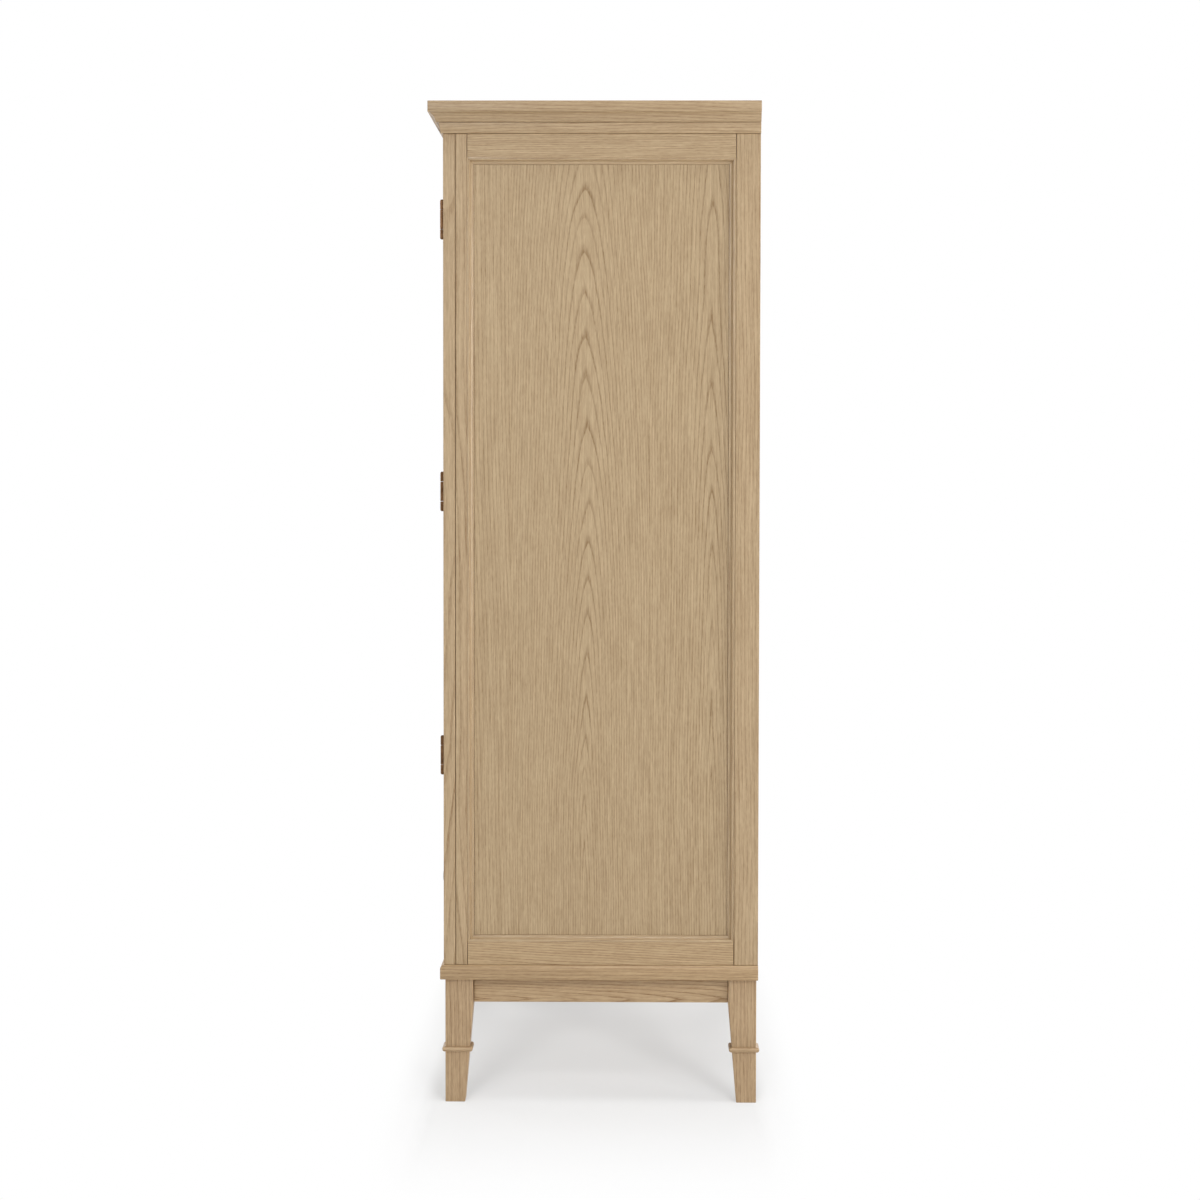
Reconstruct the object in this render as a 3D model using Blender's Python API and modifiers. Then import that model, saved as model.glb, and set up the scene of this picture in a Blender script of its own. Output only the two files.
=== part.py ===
"""A tall oak cabinet: two framed doors over a wide drawer, in a frame-and-panel case on four tapered legs.

Metres, +Z up, front facing -Y. The origin is on the floor, under the middle of the cabinet's outline.
Right is +X. What comes in pairs is drawn for the right side and mirrored for the left.
"""

import math
from dataclasses import dataclass, replace

import bmesh
import bpy
from mathutils import Matrix

# Clearances
FIT = 0.0003
DOOR_GAP = 0.003
DOOR_END_GAP = 0.0025
DRAWER_GAP = 0.0025
SHELF_TO_DOOR = 0.0025
DRAWER_BACK_GAP = 0.002

# Case
BODY_WIDTH = 1.100
BODY_DEPTH = 0.600
FRAME_HEIGHT = 1.5766
POST_WIDTH = 0.046
FRONT_POST_DEPTH = 0.022
REAR_POST_DEPTH = 0.0465
SIDE_TOP_RAIL_HEIGHT = 0.044
SIDE_BOTTOM_RAIL_HEIGHT = 0.0435
SIDE_TOP_RAIL_THICKNESS = 0.026
SIDE_TENON_LENGTH = 0.014

# Face frame
FACE_THICKNESS = 0.023
TOP_RAIL_HEIGHT = 0.044
MIDDLE_RAIL_HEIGHT = 0.046
DRAWER_OPENING_HEIGHT = 0.2384
FACE_TENON_LENGTH = 0.025

# Panels, their grooves and beads
PANEL_THICKNESS = 0.008
SIDE_RECESS = 0.010
DOOR_RECESS = 0.008
GROOVE_DEPTH = 0.008
BEAD_SHORTFALL = 0.001
BEAD_WALL_SLOPE = 0.0002
BEAD_FILLET_WIDTH = 0.0050
BEAD_SLOPE_WIDTH = 0.0038
BEAD_FOOT_WIDTH = 0.0038
BEAD_FOOT_HEIGHT = 0.0030
BEAD_LIP_WIDTH = 0.0012
BEAD_LIP_HEIGHT = 0.0018

# Tenons
TENON_THICKNESS = 0.009
TENON_SHOULDER = 0.010

# Top
CARCASS_TOP_THICKNESS = 0.0202
CARCASS_TOP_OVERHANG = 0.0075
CARCASS_TOP_LOWER_OVERHANG = 0.0037
COVE_HEIGHT = 0.0170
FASCIA_HEIGHT = 0.021
CORNICE_OVERHANG = 0.027
COVE_TOP_OVERHANG = 0.0235
COVE_BOTTOM_OVERHANG = 0.012
COVE_STEPS = 6

# Base board and stand
BASE_THICKNESS = 0.0275
BASE_OVERHANG = 0.0065
BASE_ROUNDING = 0.004
BASE_ROUNDING_STEPS = 4
LEG_HEIGHT = 0.2365
LEG_TOP_WIDTH = 0.0535
LEG_FOOT_WIDTH = 0.0377
LEG_SETBACK = 0.003
COLLAR_HEIGHT = 0.1018
COLLAR_THICKNESS = 0.0095
COLLAR_PROUD = 0.006
COLLAR_STEPS = 8
APRON_HEIGHT = 0.046
APRON_THICKNESS = 0.020
APRON_SETBACK = 0.012
APRON_TENON_LENGTH = 0.012

# Inside
SHELF_THICKNESS = 0.018
SHELF_COUNT = 2
HOUSING_DEPTH = 0.008
FLOOR_LIP = 0.008
BACK_THICKNESS = 0.009
BACK_SETBACK = 0.006
BACK_REBATE_WIDTH = 0.010

# Doors
DOOR_STILE_WIDTH = 0.056
DOOR_RAIL_HEIGHT = 0.060
DOOR_TENON_LENGTH = 0.030

# Drawer
DRAWER_SIDE_THICKNESS = 0.014
DRAWER_SIDE_HEIGHT = 0.220
DRAWER_BACK_THICKNESS = 0.014
DRAWER_BACK_INSET = 0.010
DRAWER_BACK_DROP = 0.010
DRAWER_BOTTOM_THICKNESS = 0.008
DRAWER_BOTTOM_HEIGHT = 0.012
DRAWER_GROOVE_DEPTH = 0.006
DRAWER_LAP = 0.014

# Hinges
HINGE_HEIGHT = 0.076
HINGE_FROM_DOOR_END = 0.1102
MIDDLE_HINGE_DROP = 0.0061
END_KNUCKLE_HEIGHT = 0.019
KNUCKLE_GAP = 0.0004
BARREL_RADIUS = 0.0041
BARREL_TO_FACE = 0.0004
BARREL_SIDES = 28
PIN_RADIUS = 0.0019
PIN_CLEARANCE = 0.0003
LEAF_THICKNESS = 0.002
LEAF_DEPTH = 0.0185
LEAF_GAP = 0.0006
TONGUE_MARGIN = 0.0004

# Knobs
KNOB_RADIUS = 0.015
KNOB_PROJECTION = 0.025
KNOB_HEAD_HEIGHT = 0.012
KNOB_NECK_RADIUS = 0.0062
KNOB_ROSE_RADIUS = 0.0105
KNOB_ROSE_THICKNESS = 0.003
KNOB_SPIGOT_RADIUS = 0.004
KNOB_SPIGOT_LENGTH = 0.013
KNOB_ROSE_EDGE = 0.0018
KNOB_HEAD_STEPS = 12
KNOB_HEAD_SQUARENESS = 0.6
KNOB_STEPS = 32
DOOR_KNOB_HEIGHT = 1.120
DRAWER_KNOB_OFFSET = 0.180

# How far a helper shape runs past the piece that it cuts, or into the piece that it joins
OVERRUN = 0.004

RIGHT = 1
LEFT = -1
SIDE_NAMES = {RIGHT: "right", LEFT: "left"}

# Levels and planes that the pieces share
BASE_BOTTOM = LEG_HEIGHT + FIT
BASE_TOP = BASE_BOTTOM + BASE_THICKNESS
FRAME_BOTTOM = BASE_TOP + FIT
FRAME_TOP = FRAME_BOTTOM + FRAME_HEIGHT
HALF_WIDTH = BODY_WIDTH / 2
COLLAR_OVERHANG = max(COLLAR_PROUD - LEG_SETBACK, 0.0)
FRONT = (CORNICE_OVERHANG - BODY_DEPTH - COLLAR_OVERHANG) / 2
BACK = FRONT + BODY_DEPTH
FACE_BACK = FRONT + FACE_THICKNESS
INNER = HALF_WIDTH - POST_WIDTH
DRAWER_OPENING_TOP = FRAME_BOTTOM + DRAWER_OPENING_HEIGHT
MIDDLE_RAIL_TOP = DRAWER_OPENING_TOP + MIDDLE_RAIL_HEIGHT
TOP_RAIL_BOTTOM = FRAME_TOP - TOP_RAIL_HEIGHT
FLOOR_TOP = MIDDLE_RAIL_TOP + FLOOR_LIP
BACK_FRONT_FACE = BACK - BACK_SETBACK - BACK_THICKNESS
HINGE_AXIS_Y = FRONT - BARREL_TO_FACE - BARREL_RADIUS


@dataclass(frozen=True)
class Finish:
    """What a piece's surface is like: the shader's base colour, roughness and metallic share."""

    colour: tuple
    roughness: float
    metallic: float = 0.0


OAK = Finish((0.49, 0.36, 0.23, 1.0), 0.55)
PALE_OAK = Finish((0.53, 0.40, 0.27, 1.0), 0.6)
BRONZE = Finish((0.16, 0.09, 0.045, 1.0), 0.38, 1.0)


@dataclass(frozen=True)
class Box:
    """An upright block: left < right along X, front < back along Y, bottom < top along Z."""

    left: float
    right: float
    front: float
    back: float
    bottom: float
    top: float

    def grown(self, x, y, z):
        """The block with each pair of faces moved outwards by x, y and z."""
        return Box(
            self.left - x, self.right + x, self.front - y, self.back + y, self.bottom - z, self.top + z
        )

    def on(self, side):
        """The block itself on the right, and its mirror image on the left."""
        return self if side == RIGHT else replace(self, left=-self.right, right=-self.left)

    def centre(self):
        return (
            (self.left + self.right) / 2, (self.front + self.back) / 2, (self.bottom + self.top) / 2
        )

    def size(self):
        return (self.right - self.left, self.back - self.front, self.top - self.bottom)


def clear_scene():
    for thing in list(bpy.data.objects):
        bpy.data.objects.remove(thing)


def new_collection(name):
    collection = bpy.data.collections.new(name)
    bpy.context.scene.collection.children.link(collection)
    return collection


def material(name, finish):
    made = bpy.data.materials.new(name)
    made.use_nodes = True
    shader = made.node_tree.nodes["Principled BSDF"]
    shader.inputs["Base Color"].default_value = finish.colour
    shader.inputs["Roughness"].default_value = finish.roughness
    shader.inputs["Metallic"].default_value = finish.metallic
    return made


def new_object(name, bm, location, parent=None, finish=OAK):
    """A part from a bmesh drawn about its own origin, which goes to a location in the cabinet."""
    mesh = bpy.data.meshes.new(name)
    bm.to_mesh(mesh)
    bm.free()
    mesh.materials.append(material(name, finish))
    made = bpy.data.objects.new(name, mesh)
    PARTS.objects.link(made)
    place(made, location, parent)
    return made


def place(thing, location, parent):
    thing.parent = parent
    origin = parent.location if parent else (0.0, 0.0, 0.0)
    thing.location = [there - here for there, here in zip(location, origin)]


def axis_empty(name, location):
    made = bpy.data.objects.new(name, None)
    made.location = location
    PARTS.objects.link(made)
    return made


def block_mesh(box):
    bm = bmesh.new()
    bmesh.ops.create_cube(bm, size=1.0)
    bmesh.ops.scale(bm, vec=box.size(), verts=bm.verts)
    return bm


def board(name, box, parent=None, finish=OAK):
    """A plain block, as sawn and planed."""
    return new_object(name, block_mesh(box), box.centre(), parent, finish)


def helper(thing):
    """Hides a shape that only cuts or joins another."""
    PARTS.objects.unlink(thing)
    CUTTERS.objects.link(thing)
    thing.hide_render = True
    thing.display_type = "WIRE"
    return thing


def helper_block(name, box):
    return helper(new_object(name, block_mesh(box), box.centre()))


def helper_cylinder(name, radius, sides, box, axis):
    """A cylinder along axis "Y" or "Z", through the middle of a block and as long as it."""
    length = box.size()["XYZ".index(axis)]
    bm = bmesh.new()
    bmesh.ops.create_cone(
        bm, cap_ends=True, segments=sides, radius1=radius, radius2=radius, depth=length
    )
    if axis == "Y":
        bmesh.ops.rotate(bm, matrix=Matrix.Rotation(math.radians(90), 3, "X"), verts=bm.verts)
    return helper(new_object(name, bm, box.centre()))


def boolean(thing, other, operation):
    modifier = thing.modifiers.new(f"{operation.lower()}_{other.name}", "BOOLEAN")
    modifier.operation = operation
    modifier.solver = "EXACT"
    modifier.object = other


def cut(thing, other):
    boolean(thing, other, "DIFFERENCE")


def join(thing, other):
    boolean(thing, other, "UNION")


def stack(name, layers):
    """A piece whose level sections are rectangles: layers are flat boxes, from the lowest up.

    It starts as a cube between the first two layers, and its top face is extruded to each further one.
    """
    whole = Box(0, 0, 0, 0, layers[0].bottom, layers[-1].bottom)
    bm = bmesh.new()
    bmesh.ops.create_cube(bm, size=1.0)
    lower = [corner for corner in bm.verts if corner.co.z < 0]
    upper = [corner for corner in bm.verts if corner.co.z > 0]
    fit_corners(lower, layers[0], whole)
    fit_corners(upper, layers[1], whole)
    bm.faces.ensure_lookup_table()
    top = next(face for face in bm.faces if all(corner in upper for corner in face.verts))
    for layer in layers[2:]:
        top = bmesh.ops.extrude_discrete_faces(bm, faces=[top])["faces"][0]
        fit_corners(top.verts, layer, whole)
    return new_object(name, bm, whole.centre())


def fit_corners(corners, layer, whole):
    """Moves four corners onto a layer's rectangle, keeping which corner each one is."""
    corners = list(corners)
    middle_x = sum(corner.co.x for corner in corners) / len(corners)
    middle_y = sum(corner.co.y for corner in corners) / len(corners)
    centre = whole.centre()
    for corner in corners:
        corner.co.x = (layer.left if corner.co.x < middle_x else layer.right) - centre[0]
        corner.co.y = (layer.front if corner.co.y < middle_y else layer.back) - centre[1]
        corner.co.z = layer.bottom - centre[2]


def body_layer(height, overhang):
    """A level section of the body that overhangs its front and sides, and is flush behind."""
    return Box(
        -HALF_WIDTH - overhang, HALF_WIDTH + overhang, FRONT - overhang, BACK, height, height
    )


def beaded_panel(name, opening, box, outward, parent=None):
    """A panel with its bead: opening is the clear space in the frame, box is the panel's full size.

    The outward face is inset to the opening and raised to a fillet. A steep slope goes down from there to
    a flatter foot, which ends in a small lip on the panel.
    """
    bm = block_mesh(box)
    face = max(bm.faces, key=lambda candidate: candidate.normal.dot(outward))
    if outward[1]:
        margin = opening.left - box.left + FIT
        height = box.front - opening.front
    else:
        margin = opening.front - box.front + FIT
        height = opening.right - box.right if outward[0] > 0 else box.left - opening.left
    height -= BEAD_SHORTFALL
    steps = (
        (margin, 0.0),
        (BEAD_WALL_SLOPE, height),
        (BEAD_FILLET_WIDTH, 0.0),
        (BEAD_SLOPE_WIDTH, BEAD_FOOT_HEIGHT - height),
        (BEAD_FOOT_WIDTH, BEAD_LIP_HEIGHT - BEAD_FOOT_HEIGHT),
        (BEAD_LIP_WIDTH, -BEAD_LIP_HEIGHT),
    )
    for thickness, depth in steps:
        bmesh.ops.inset_region(
            bm, faces=[face], thickness=thickness, depth=depth, use_even_offset=True, use_boundary=True
        )
    return new_object(name, bm, box.centre(), parent)


def add_tenon(rail, posts, box, along, length):
    """Gives a rail a tenon at each end, along axis "X" or "Y", and cuts the mortises in its two posts.

    box is the rail. The tenon stands back from the rail's upper and lower edges by the shoulder.
    """
    low = "left" if along == "X" else "front"
    high = "right" if along == "X" else "back"
    core = replace(
        box, bottom=box.bottom + TENON_SHOULDER, top=box.top - TENON_SHOULDER
    )
    core = thinned(core, along)
    ends = (
        (posts[0], {low: getattr(box, low) - length, high: getattr(box, low) + OVERRUN}),
        (posts[1], {low: getattr(box, high) - OVERRUN, high: getattr(box, high) + length}),
    )
    for post, reach in ends:
        tenon = replace(core, **reach)
        join(rail, helper_block(f"{rail.name}_tenon_{post.name}", tenon))
        cut(post, helper_block(f"{post.name}_mortise_{rail.name}", tenon.grown(FIT, FIT, FIT)))


def thinned(box, along):
    """The box with its thickness brought down to a tenon's, about the same middle."""
    x, y, _ = box.centre()
    half = TENON_THICKNESS / 2
    if along == "X":
        return replace(box, front=y - half, back=y + half)
    return replace(box, left=x - half, right=x + half)


def build_top():
    """The moulded top board and the board under it."""
    bottom = FRAME_TOP + FIT
    stack(
        "carcass_top",
        [
            body_layer(bottom, CARCASS_TOP_LOWER_OVERHANG),
            body_layer(bottom + CARCASS_TOP_THICKNESS, CARCASS_TOP_OVERHANG),
        ],
    )
    cove_bottom = bottom + CARCASS_TOP_THICKNESS + FIT
    cove_top = cove_bottom + COVE_HEIGHT
    reach = COVE_TOP_OVERHANG - COVE_BOTTOM_OVERHANG
    layers = []
    for step in range(COVE_STEPS + 1):
        turn = math.radians(90) * step / COVE_STEPS
        layers.append(
            body_layer(
                cove_bottom + COVE_HEIGHT * math.sin(turn),
                COVE_BOTTOM_OVERHANG + reach * (1 - math.cos(turn)),
            )
        )
    layers.append(body_layer(cove_top + FIT, CORNICE_OVERHANG))
    layers.append(body_layer(cove_top + FASCIA_HEIGHT, CORNICE_OVERHANG))
    stack("cornice", layers)


def build_base_board():
    layers = [body_layer(BASE_BOTTOM, BASE_OVERHANG)]
    for step in range(BASE_ROUNDING_STEPS + 1):
        turn = math.radians(90) * step / BASE_ROUNDING_STEPS
        layers.append(
            body_layer(
                BASE_TOP - BASE_ROUNDING * (1 - math.sin(turn)),
                BASE_OVERHANG - BASE_ROUNDING * (1 - math.cos(turn)),
            )
        )
    stack("base_board", layers)


def leg_section(height, width):
    """A level section of the right rear leg: its two outer faces stay upright."""
    outer_x = HALF_WIDTH - LEG_SETBACK
    outer_y = BACK - LEG_SETBACK
    return Box(outer_x - width, outer_x, outer_y - width, outer_y, height, height)


def to_front(box):
    """A block of the rear, mirrored to the front about the middle of the body's depth."""
    return replace(box, front=FRONT + BACK - box.back, back=FRONT + BACK - box.front)


def leg_width(height):
    taper_top = LEG_HEIGHT - APRON_HEIGHT
    share = min(height / taper_top, 1.0)
    return LEG_FOOT_WIDTH + (LEG_TOP_WIDTH - LEG_FOOT_WIDTH) * share


def build_leg(side, row):
    """One leg: a straight block where the aprons meet it, a taper below, and its half-round collar."""
    name = f"{row}_leg_{SIDE_NAMES[side]}"
    levels = (0.0, LEG_HEIGHT - APRON_HEIGHT, LEG_HEIGHT)
    sections = [leg_section(level, leg_width(level)) for level in levels]
    around = leg_section(0.0, leg_width(COLLAR_HEIGHT))
    collar_sections = []
    for step in range(1, COLLAR_STEPS):
        turn = math.radians(180) * step / COLLAR_STEPS
        proud = COLLAR_PROUD * math.sin(turn)
        level = COLLAR_HEIGHT - COLLAR_THICKNESS / 2 * math.cos(turn)
        collar_sections.append(replace(around.grown(proud, proud, 0.0), bottom=level, top=level))
    if row == "front":
        sections = [to_front(section) for section in sections]
        collar_sections = [to_front(section) for section in collar_sections]
    leg = stack(name, [section.on(side) for section in sections])
    collar = stack(f"{name}_collar", [section.on(side) for section in collar_sections])
    join(leg, helper(collar))
    return leg


def build_stand():
    """Four legs, and the four aprons between them under the base board."""
    legs = {}
    for side in (LEFT, RIGHT):
        for row in ("front", "rear"):
            legs[side, row] = build_leg(side, row)
    corner = leg_section(LEG_HEIGHT, LEG_TOP_WIDTH)
    bottom = LEG_HEIGHT - APRON_HEIGHT
    rear = Box(
        -corner.left + FIT, corner.left - FIT,
        corner.back - APRON_SETBACK - APRON_THICKNESS, corner.back - APRON_SETBACK,
        bottom, LEG_HEIGHT,
    )
    for row, box in (("rear", rear), ("front", to_front(rear))):
        apron = board(f"{row}_apron", box)
        add_tenon(apron, (legs[LEFT, row], legs[RIGHT, row]), box, "X", APRON_TENON_LENGTH)
    right = Box(
        corner.right - APRON_SETBACK - APRON_THICKNESS, corner.right - APRON_SETBACK,
        to_front(corner).back + FIT, corner.front - FIT,
        bottom, LEG_HEIGHT,
    )
    for side in (LEFT, RIGHT):
        box = right.on(side)
        apron = board(f"side_apron_{SIDE_NAMES[side]}", box)
        add_tenon(apron, (legs[side, "front"], legs[side, "rear"]), box, "Y", APRON_TENON_LENGTH)


def build_side(side):
    """One side of the case: two posts, two rails and a beaded panel. It returns its posts."""
    name = SIDE_NAMES[side]
    front_post_box = Box(
        INNER, HALF_WIDTH, FACE_BACK + FIT, FACE_BACK + FIT + FRONT_POST_DEPTH, FRAME_BOTTOM, FRAME_TOP
    )
    rear_post_box = replace(front_post_box, front=BACK - REAR_POST_DEPTH, back=BACK)
    front_post = board(f"side_front_post_{name}", front_post_box.on(side))
    rear_post = board(f"side_rear_post_{name}", rear_post_box.on(side))
    opening = Box(
        INNER, HALF_WIDTH, front_post_box.back, rear_post_box.front,
        FRAME_BOTTOM + SIDE_BOTTOM_RAIL_HEIGHT, FRAME_TOP - SIDE_TOP_RAIL_HEIGHT,
    )
    panel_face = HALF_WIDTH - SIDE_RECESS
    panel_back = panel_face - PANEL_THICKNESS
    between = replace(opening, front=opening.front + FIT, back=opening.back - FIT)
    top_box = replace(
        between, left=HALF_WIDTH - SIDE_TOP_RAIL_THICKNESS, bottom=opening.top, top=FRAME_TOP
    )
    bottom_box = replace(between, bottom=FRAME_BOTTOM, top=opening.bottom)
    members = [front_post, rear_post]
    for label, box in (("top", top_box), ("bottom", bottom_box)):
        rail = board(f"side_{label}_rail_{name}", box.on(side))
        add_tenon(rail, (front_post, rear_post), box.on(side), "Y", SIDE_TENON_LENGTH)
        members.append(rail)
    plane = replace(opening, left=panel_back, right=panel_face)
    reach = GROOVE_DEPTH - FIT
    panel_box = plane.grown(0.0, reach, reach)
    beaded_panel(f"side_panel_{name}", opening.on(side), panel_box.on(side), (side, 0, 0))
    groove = helper_block(
        f"side_groove_{name}", plane.grown(FIT, GROOVE_DEPTH, GROOVE_DEPTH).on(side)
    )
    for member in members:
        cut(member, groove)
    return front_post, rear_post


def build_inside(posts):
    """The back, the middle floor and the shelves, housed in the four posts."""
    back_box = Box(
        -INNER - BACK_REBATE_WIDTH + FIT, INNER + BACK_REBATE_WIDTH - FIT,
        BACK_FRONT_FACE, BACK_FRONT_FACE + BACK_THICKNESS,
        FRAME_BOTTOM, FRAME_TOP,
    )
    board("back_panel", back_box, finish=PALE_OAK)
    rebate = replace(back_box.grown(FIT, FIT, OVERRUN), back=BACK + OVERRUN)
    rebate_cutter = helper_block("back_rebate", rebate)
    for post in posts["rear"]:
        cut(post, rebate_cutter)
    floor_box = Box(
        -INNER - HOUSING_DEPTH + FIT, INNER + HOUSING_DEPTH - FIT,
        FACE_BACK + FIT, BACK_FRONT_FACE - FIT,
        FLOOR_TOP - SHELF_THICKNESS, FLOOR_TOP,
    )
    boards = {"middle_floor": floor_box}
    space = (FRAME_TOP - FLOOR_TOP - SHELF_COUNT * SHELF_THICKNESS) / (SHELF_COUNT + 1)
    for number in range(1, SHELF_COUNT + 1):
        bottom = FLOOR_TOP + number * space + (number - 1) * SHELF_THICKNESS
        boards[f"shelf_{number}"] = replace(
            floor_box, front=FACE_BACK + SHELF_TO_DOOR, bottom=bottom, top=bottom + SHELF_THICKNESS
        )
    for name, box in boards.items():
        board(name, box, finish=PALE_OAK)
        room = replace(box.grown(FIT, FIT, FIT), back=BACK_FRONT_FACE + BACK_THICKNESS / 2)
        housing = helper_block(f"{name}_housing", room)
        for post in posts["front"] + posts["rear"]:
            cut(post, housing)


def build_face_frame():
    """Two stiles and two rails in front of the posts. It returns the stiles by side."""
    stile_box = Box(INNER, HALF_WIDTH, FRONT, FACE_BACK, FRAME_BOTTOM, FRAME_TOP)
    stiles = {}
    for side in (LEFT, RIGHT):
        stiles[side] = board(f"face_stile_{SIDE_NAMES[side]}", stile_box.on(side))
    rail_box = replace(stile_box, left=-INNER + FIT, right=INNER - FIT)
    rails = {
        "face_top_rail": replace(rail_box, bottom=TOP_RAIL_BOTTOM),
        "face_middle_rail": replace(rail_box, bottom=DRAWER_OPENING_TOP, top=MIDDLE_RAIL_TOP),
    }
    for name, box in rails.items():
        rail = board(name, box)
        add_tenon(rail, (stiles[LEFT], stiles[RIGHT]), box, "X", FACE_TENON_LENGTH)
    return stiles


def door_box():
    """The right door's outline."""
    return Box(
        DOOR_GAP / 2, INNER - DOOR_GAP, FRONT, FACE_BACK,
        MIDDLE_RAIL_TOP + DOOR_END_GAP, TOP_RAIL_BOTTOM - DOOR_END_GAP,
    )


def hinge_levels():
    """The middle height of each hinge, from the lowest up."""
    door = door_box()
    return (
        door.bottom + HINGE_FROM_DOOR_END,
        (door.bottom + door.top) / 2 - MIDDLE_HINGE_DROP,
        door.top - HINGE_FROM_DOOR_END,
    )


def build_door(side):
    """One door: two stiles, two rails and a beaded panel. It returns its hinge stile and its axis."""
    name = SIDE_NAMES[side]
    outline = door_box()
    axis = axis_empty(f"door_axis_{name}", (side * (INNER - DOOR_GAP / 2), HINGE_AXIS_Y, outline.bottom))
    hinge_stile_box = replace(outline, left=outline.right - DOOR_STILE_WIDTH)
    lock_stile_box = replace(outline, right=outline.left + DOOR_STILE_WIDTH)
    hinge_stile = board(f"door_hinge_stile_{name}", hinge_stile_box.on(side), axis)
    lock_stile = board(f"door_lock_stile_{name}", lock_stile_box.on(side), axis)
    opening = Box(
        lock_stile_box.right, hinge_stile_box.left, FRONT, FACE_BACK,
        outline.bottom + DOOR_RAIL_HEIGHT, outline.top - DOOR_RAIL_HEIGHT,
    )
    between = replace(opening, left=opening.left + FIT, right=opening.right - FIT)
    by_x = (lock_stile, hinge_stile) if side == RIGHT else (hinge_stile, lock_stile)
    members = [hinge_stile, lock_stile]
    for label, bottom, top in (
        ("bottom", outline.bottom, opening.bottom),
        ("top", opening.top, outline.top),
    ):
        box = replace(between, bottom=bottom, top=top).on(side)
        rail = board(f"door_{label}_rail_{name}", box, axis)
        add_tenon(rail, by_x, box, "X", DOOR_TENON_LENGTH)
        members.append(rail)
    panel_front = FRONT + DOOR_RECESS
    plane = replace(opening, front=panel_front, back=panel_front + PANEL_THICKNESS)
    reach = GROOVE_DEPTH - FIT
    panel_box = plane.grown(reach, 0.0, reach)
    beaded_panel(f"door_panel_{name}", opening.on(side), panel_box.on(side), (0, -1, 0), axis)
    groove = helper_block(
        f"door_groove_{name}", plane.grown(GROOVE_DEPTH, FIT, GROOVE_DEPTH).on(side)
    )
    for member in members:
        cut(member, groove)
    knob_x = side * (lock_stile_box.left + lock_stile_box.right) / 2
    build_knob(f"door_knob_{name}", knob_x, DOOR_KNOB_HEIGHT, lock_stile, axis)
    return hinge_stile, axis


def build_hinge(side, number, level, stile, door_stile, axis):
    """A butt hinge: the frame leaf has the end knuckles and the pin, the door leaf the middle knuckle."""
    name = f"{number}_{SIDE_NAMES[side]}"
    axis_x = INNER - DOOR_GAP / 2
    bottom = level - HINGE_HEIGHT / 2
    top = level + HINGE_HEIGHT / 2
    near = axis_x + LEAF_GAP / 2
    plate = Box(
        near, near + LEAF_THICKNESS, HINGE_AXIS_Y, FRONT + LEAF_DEPTH,
        bottom + TONGUE_MARGIN, top - TONGUE_MARGIN,
    )
    door_plate = replace(plate, left=2 * axis_x - plate.right, right=2 * axis_x - plate.left)
    low_joint = bottom + END_KNUCKLE_HEIGHT
    high_joint = top - END_KNUCKLE_HEIGHT
    barrel = Box(axis_x, axis_x, HINGE_AXIS_Y, HINGE_AXIS_Y, bottom, top)
    ends = (replace(barrel, top=low_joint), replace(barrel, bottom=high_joint))
    middle = replace(barrel, bottom=low_joint + KNUCKLE_GAP, top=high_joint - KNUCKLE_GAP)

    frame_leaf = board(f"hinge_frame_leaf_{name}", plate.on(side), finish=BRONZE)
    notch = Box(
        plate.left - OVERRUN, plate.right + OVERRUN, HINGE_AXIS_Y - OVERRUN, FRONT,
        low_joint - TONGUE_MARGIN, high_joint + TONGUE_MARGIN,
    )
    cut(frame_leaf, helper_block(f"{frame_leaf.name}_notch", notch.on(side)))
    for place_name, knuckle in zip(("low", "high"), ends):
        join(frame_leaf, barrel_piece(f"{frame_leaf.name}_{place_name}", BARREL_RADIUS, knuckle, side))
    pin = barrel.grown(0.0, 0.0, -END_KNUCKLE_HEIGHT / 2)
    join(frame_leaf, barrel_piece(f"{frame_leaf.name}_pin", PIN_RADIUS, pin, side))

    door_leaf = board(f"hinge_door_leaf_{name}", door_plate.on(side), axis, BRONZE)
    for place_name, knuckle in zip(("low", "high"), ends):
        notch = Box(
            door_plate.left - OVERRUN, door_plate.right + OVERRUN, HINGE_AXIS_Y - OVERRUN, FRONT,
            knuckle.bottom - OVERRUN, knuckle.top + KNUCKLE_GAP + TONGUE_MARGIN,
        )
        if place_name == "high":
            notch = replace(
                notch, bottom=knuckle.bottom - KNUCKLE_GAP - TONGUE_MARGIN, top=knuckle.top + OVERRUN
            )
        cut(door_leaf, helper_block(f"{door_leaf.name}_{place_name}_notch", notch.on(side)))
    join(door_leaf, barrel_piece(f"{door_leaf.name}_knuckle", BARREL_RADIUS, middle, side))
    bore = middle.grown(0.0, 0.0, OVERRUN)
    cut(door_leaf, barrel_piece(f"{door_leaf.name}_bore", PIN_RADIUS + PIN_CLEARANCE, bore, side))

    for leaf_box, wood in ((plate, stile), (door_plate, door_stile)):
        bed = replace(leaf_box.grown(FIT, FIT, FIT + TONGUE_MARGIN), front=FRONT - OVERRUN)
        cut(wood, helper_block(f"{wood.name}_bed_{number}", bed.on(side)))


def barrel_piece(name, radius, box, side):
    return helper_cylinder(name, radius, BARREL_SIDES, box.on(side), "Z")


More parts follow.
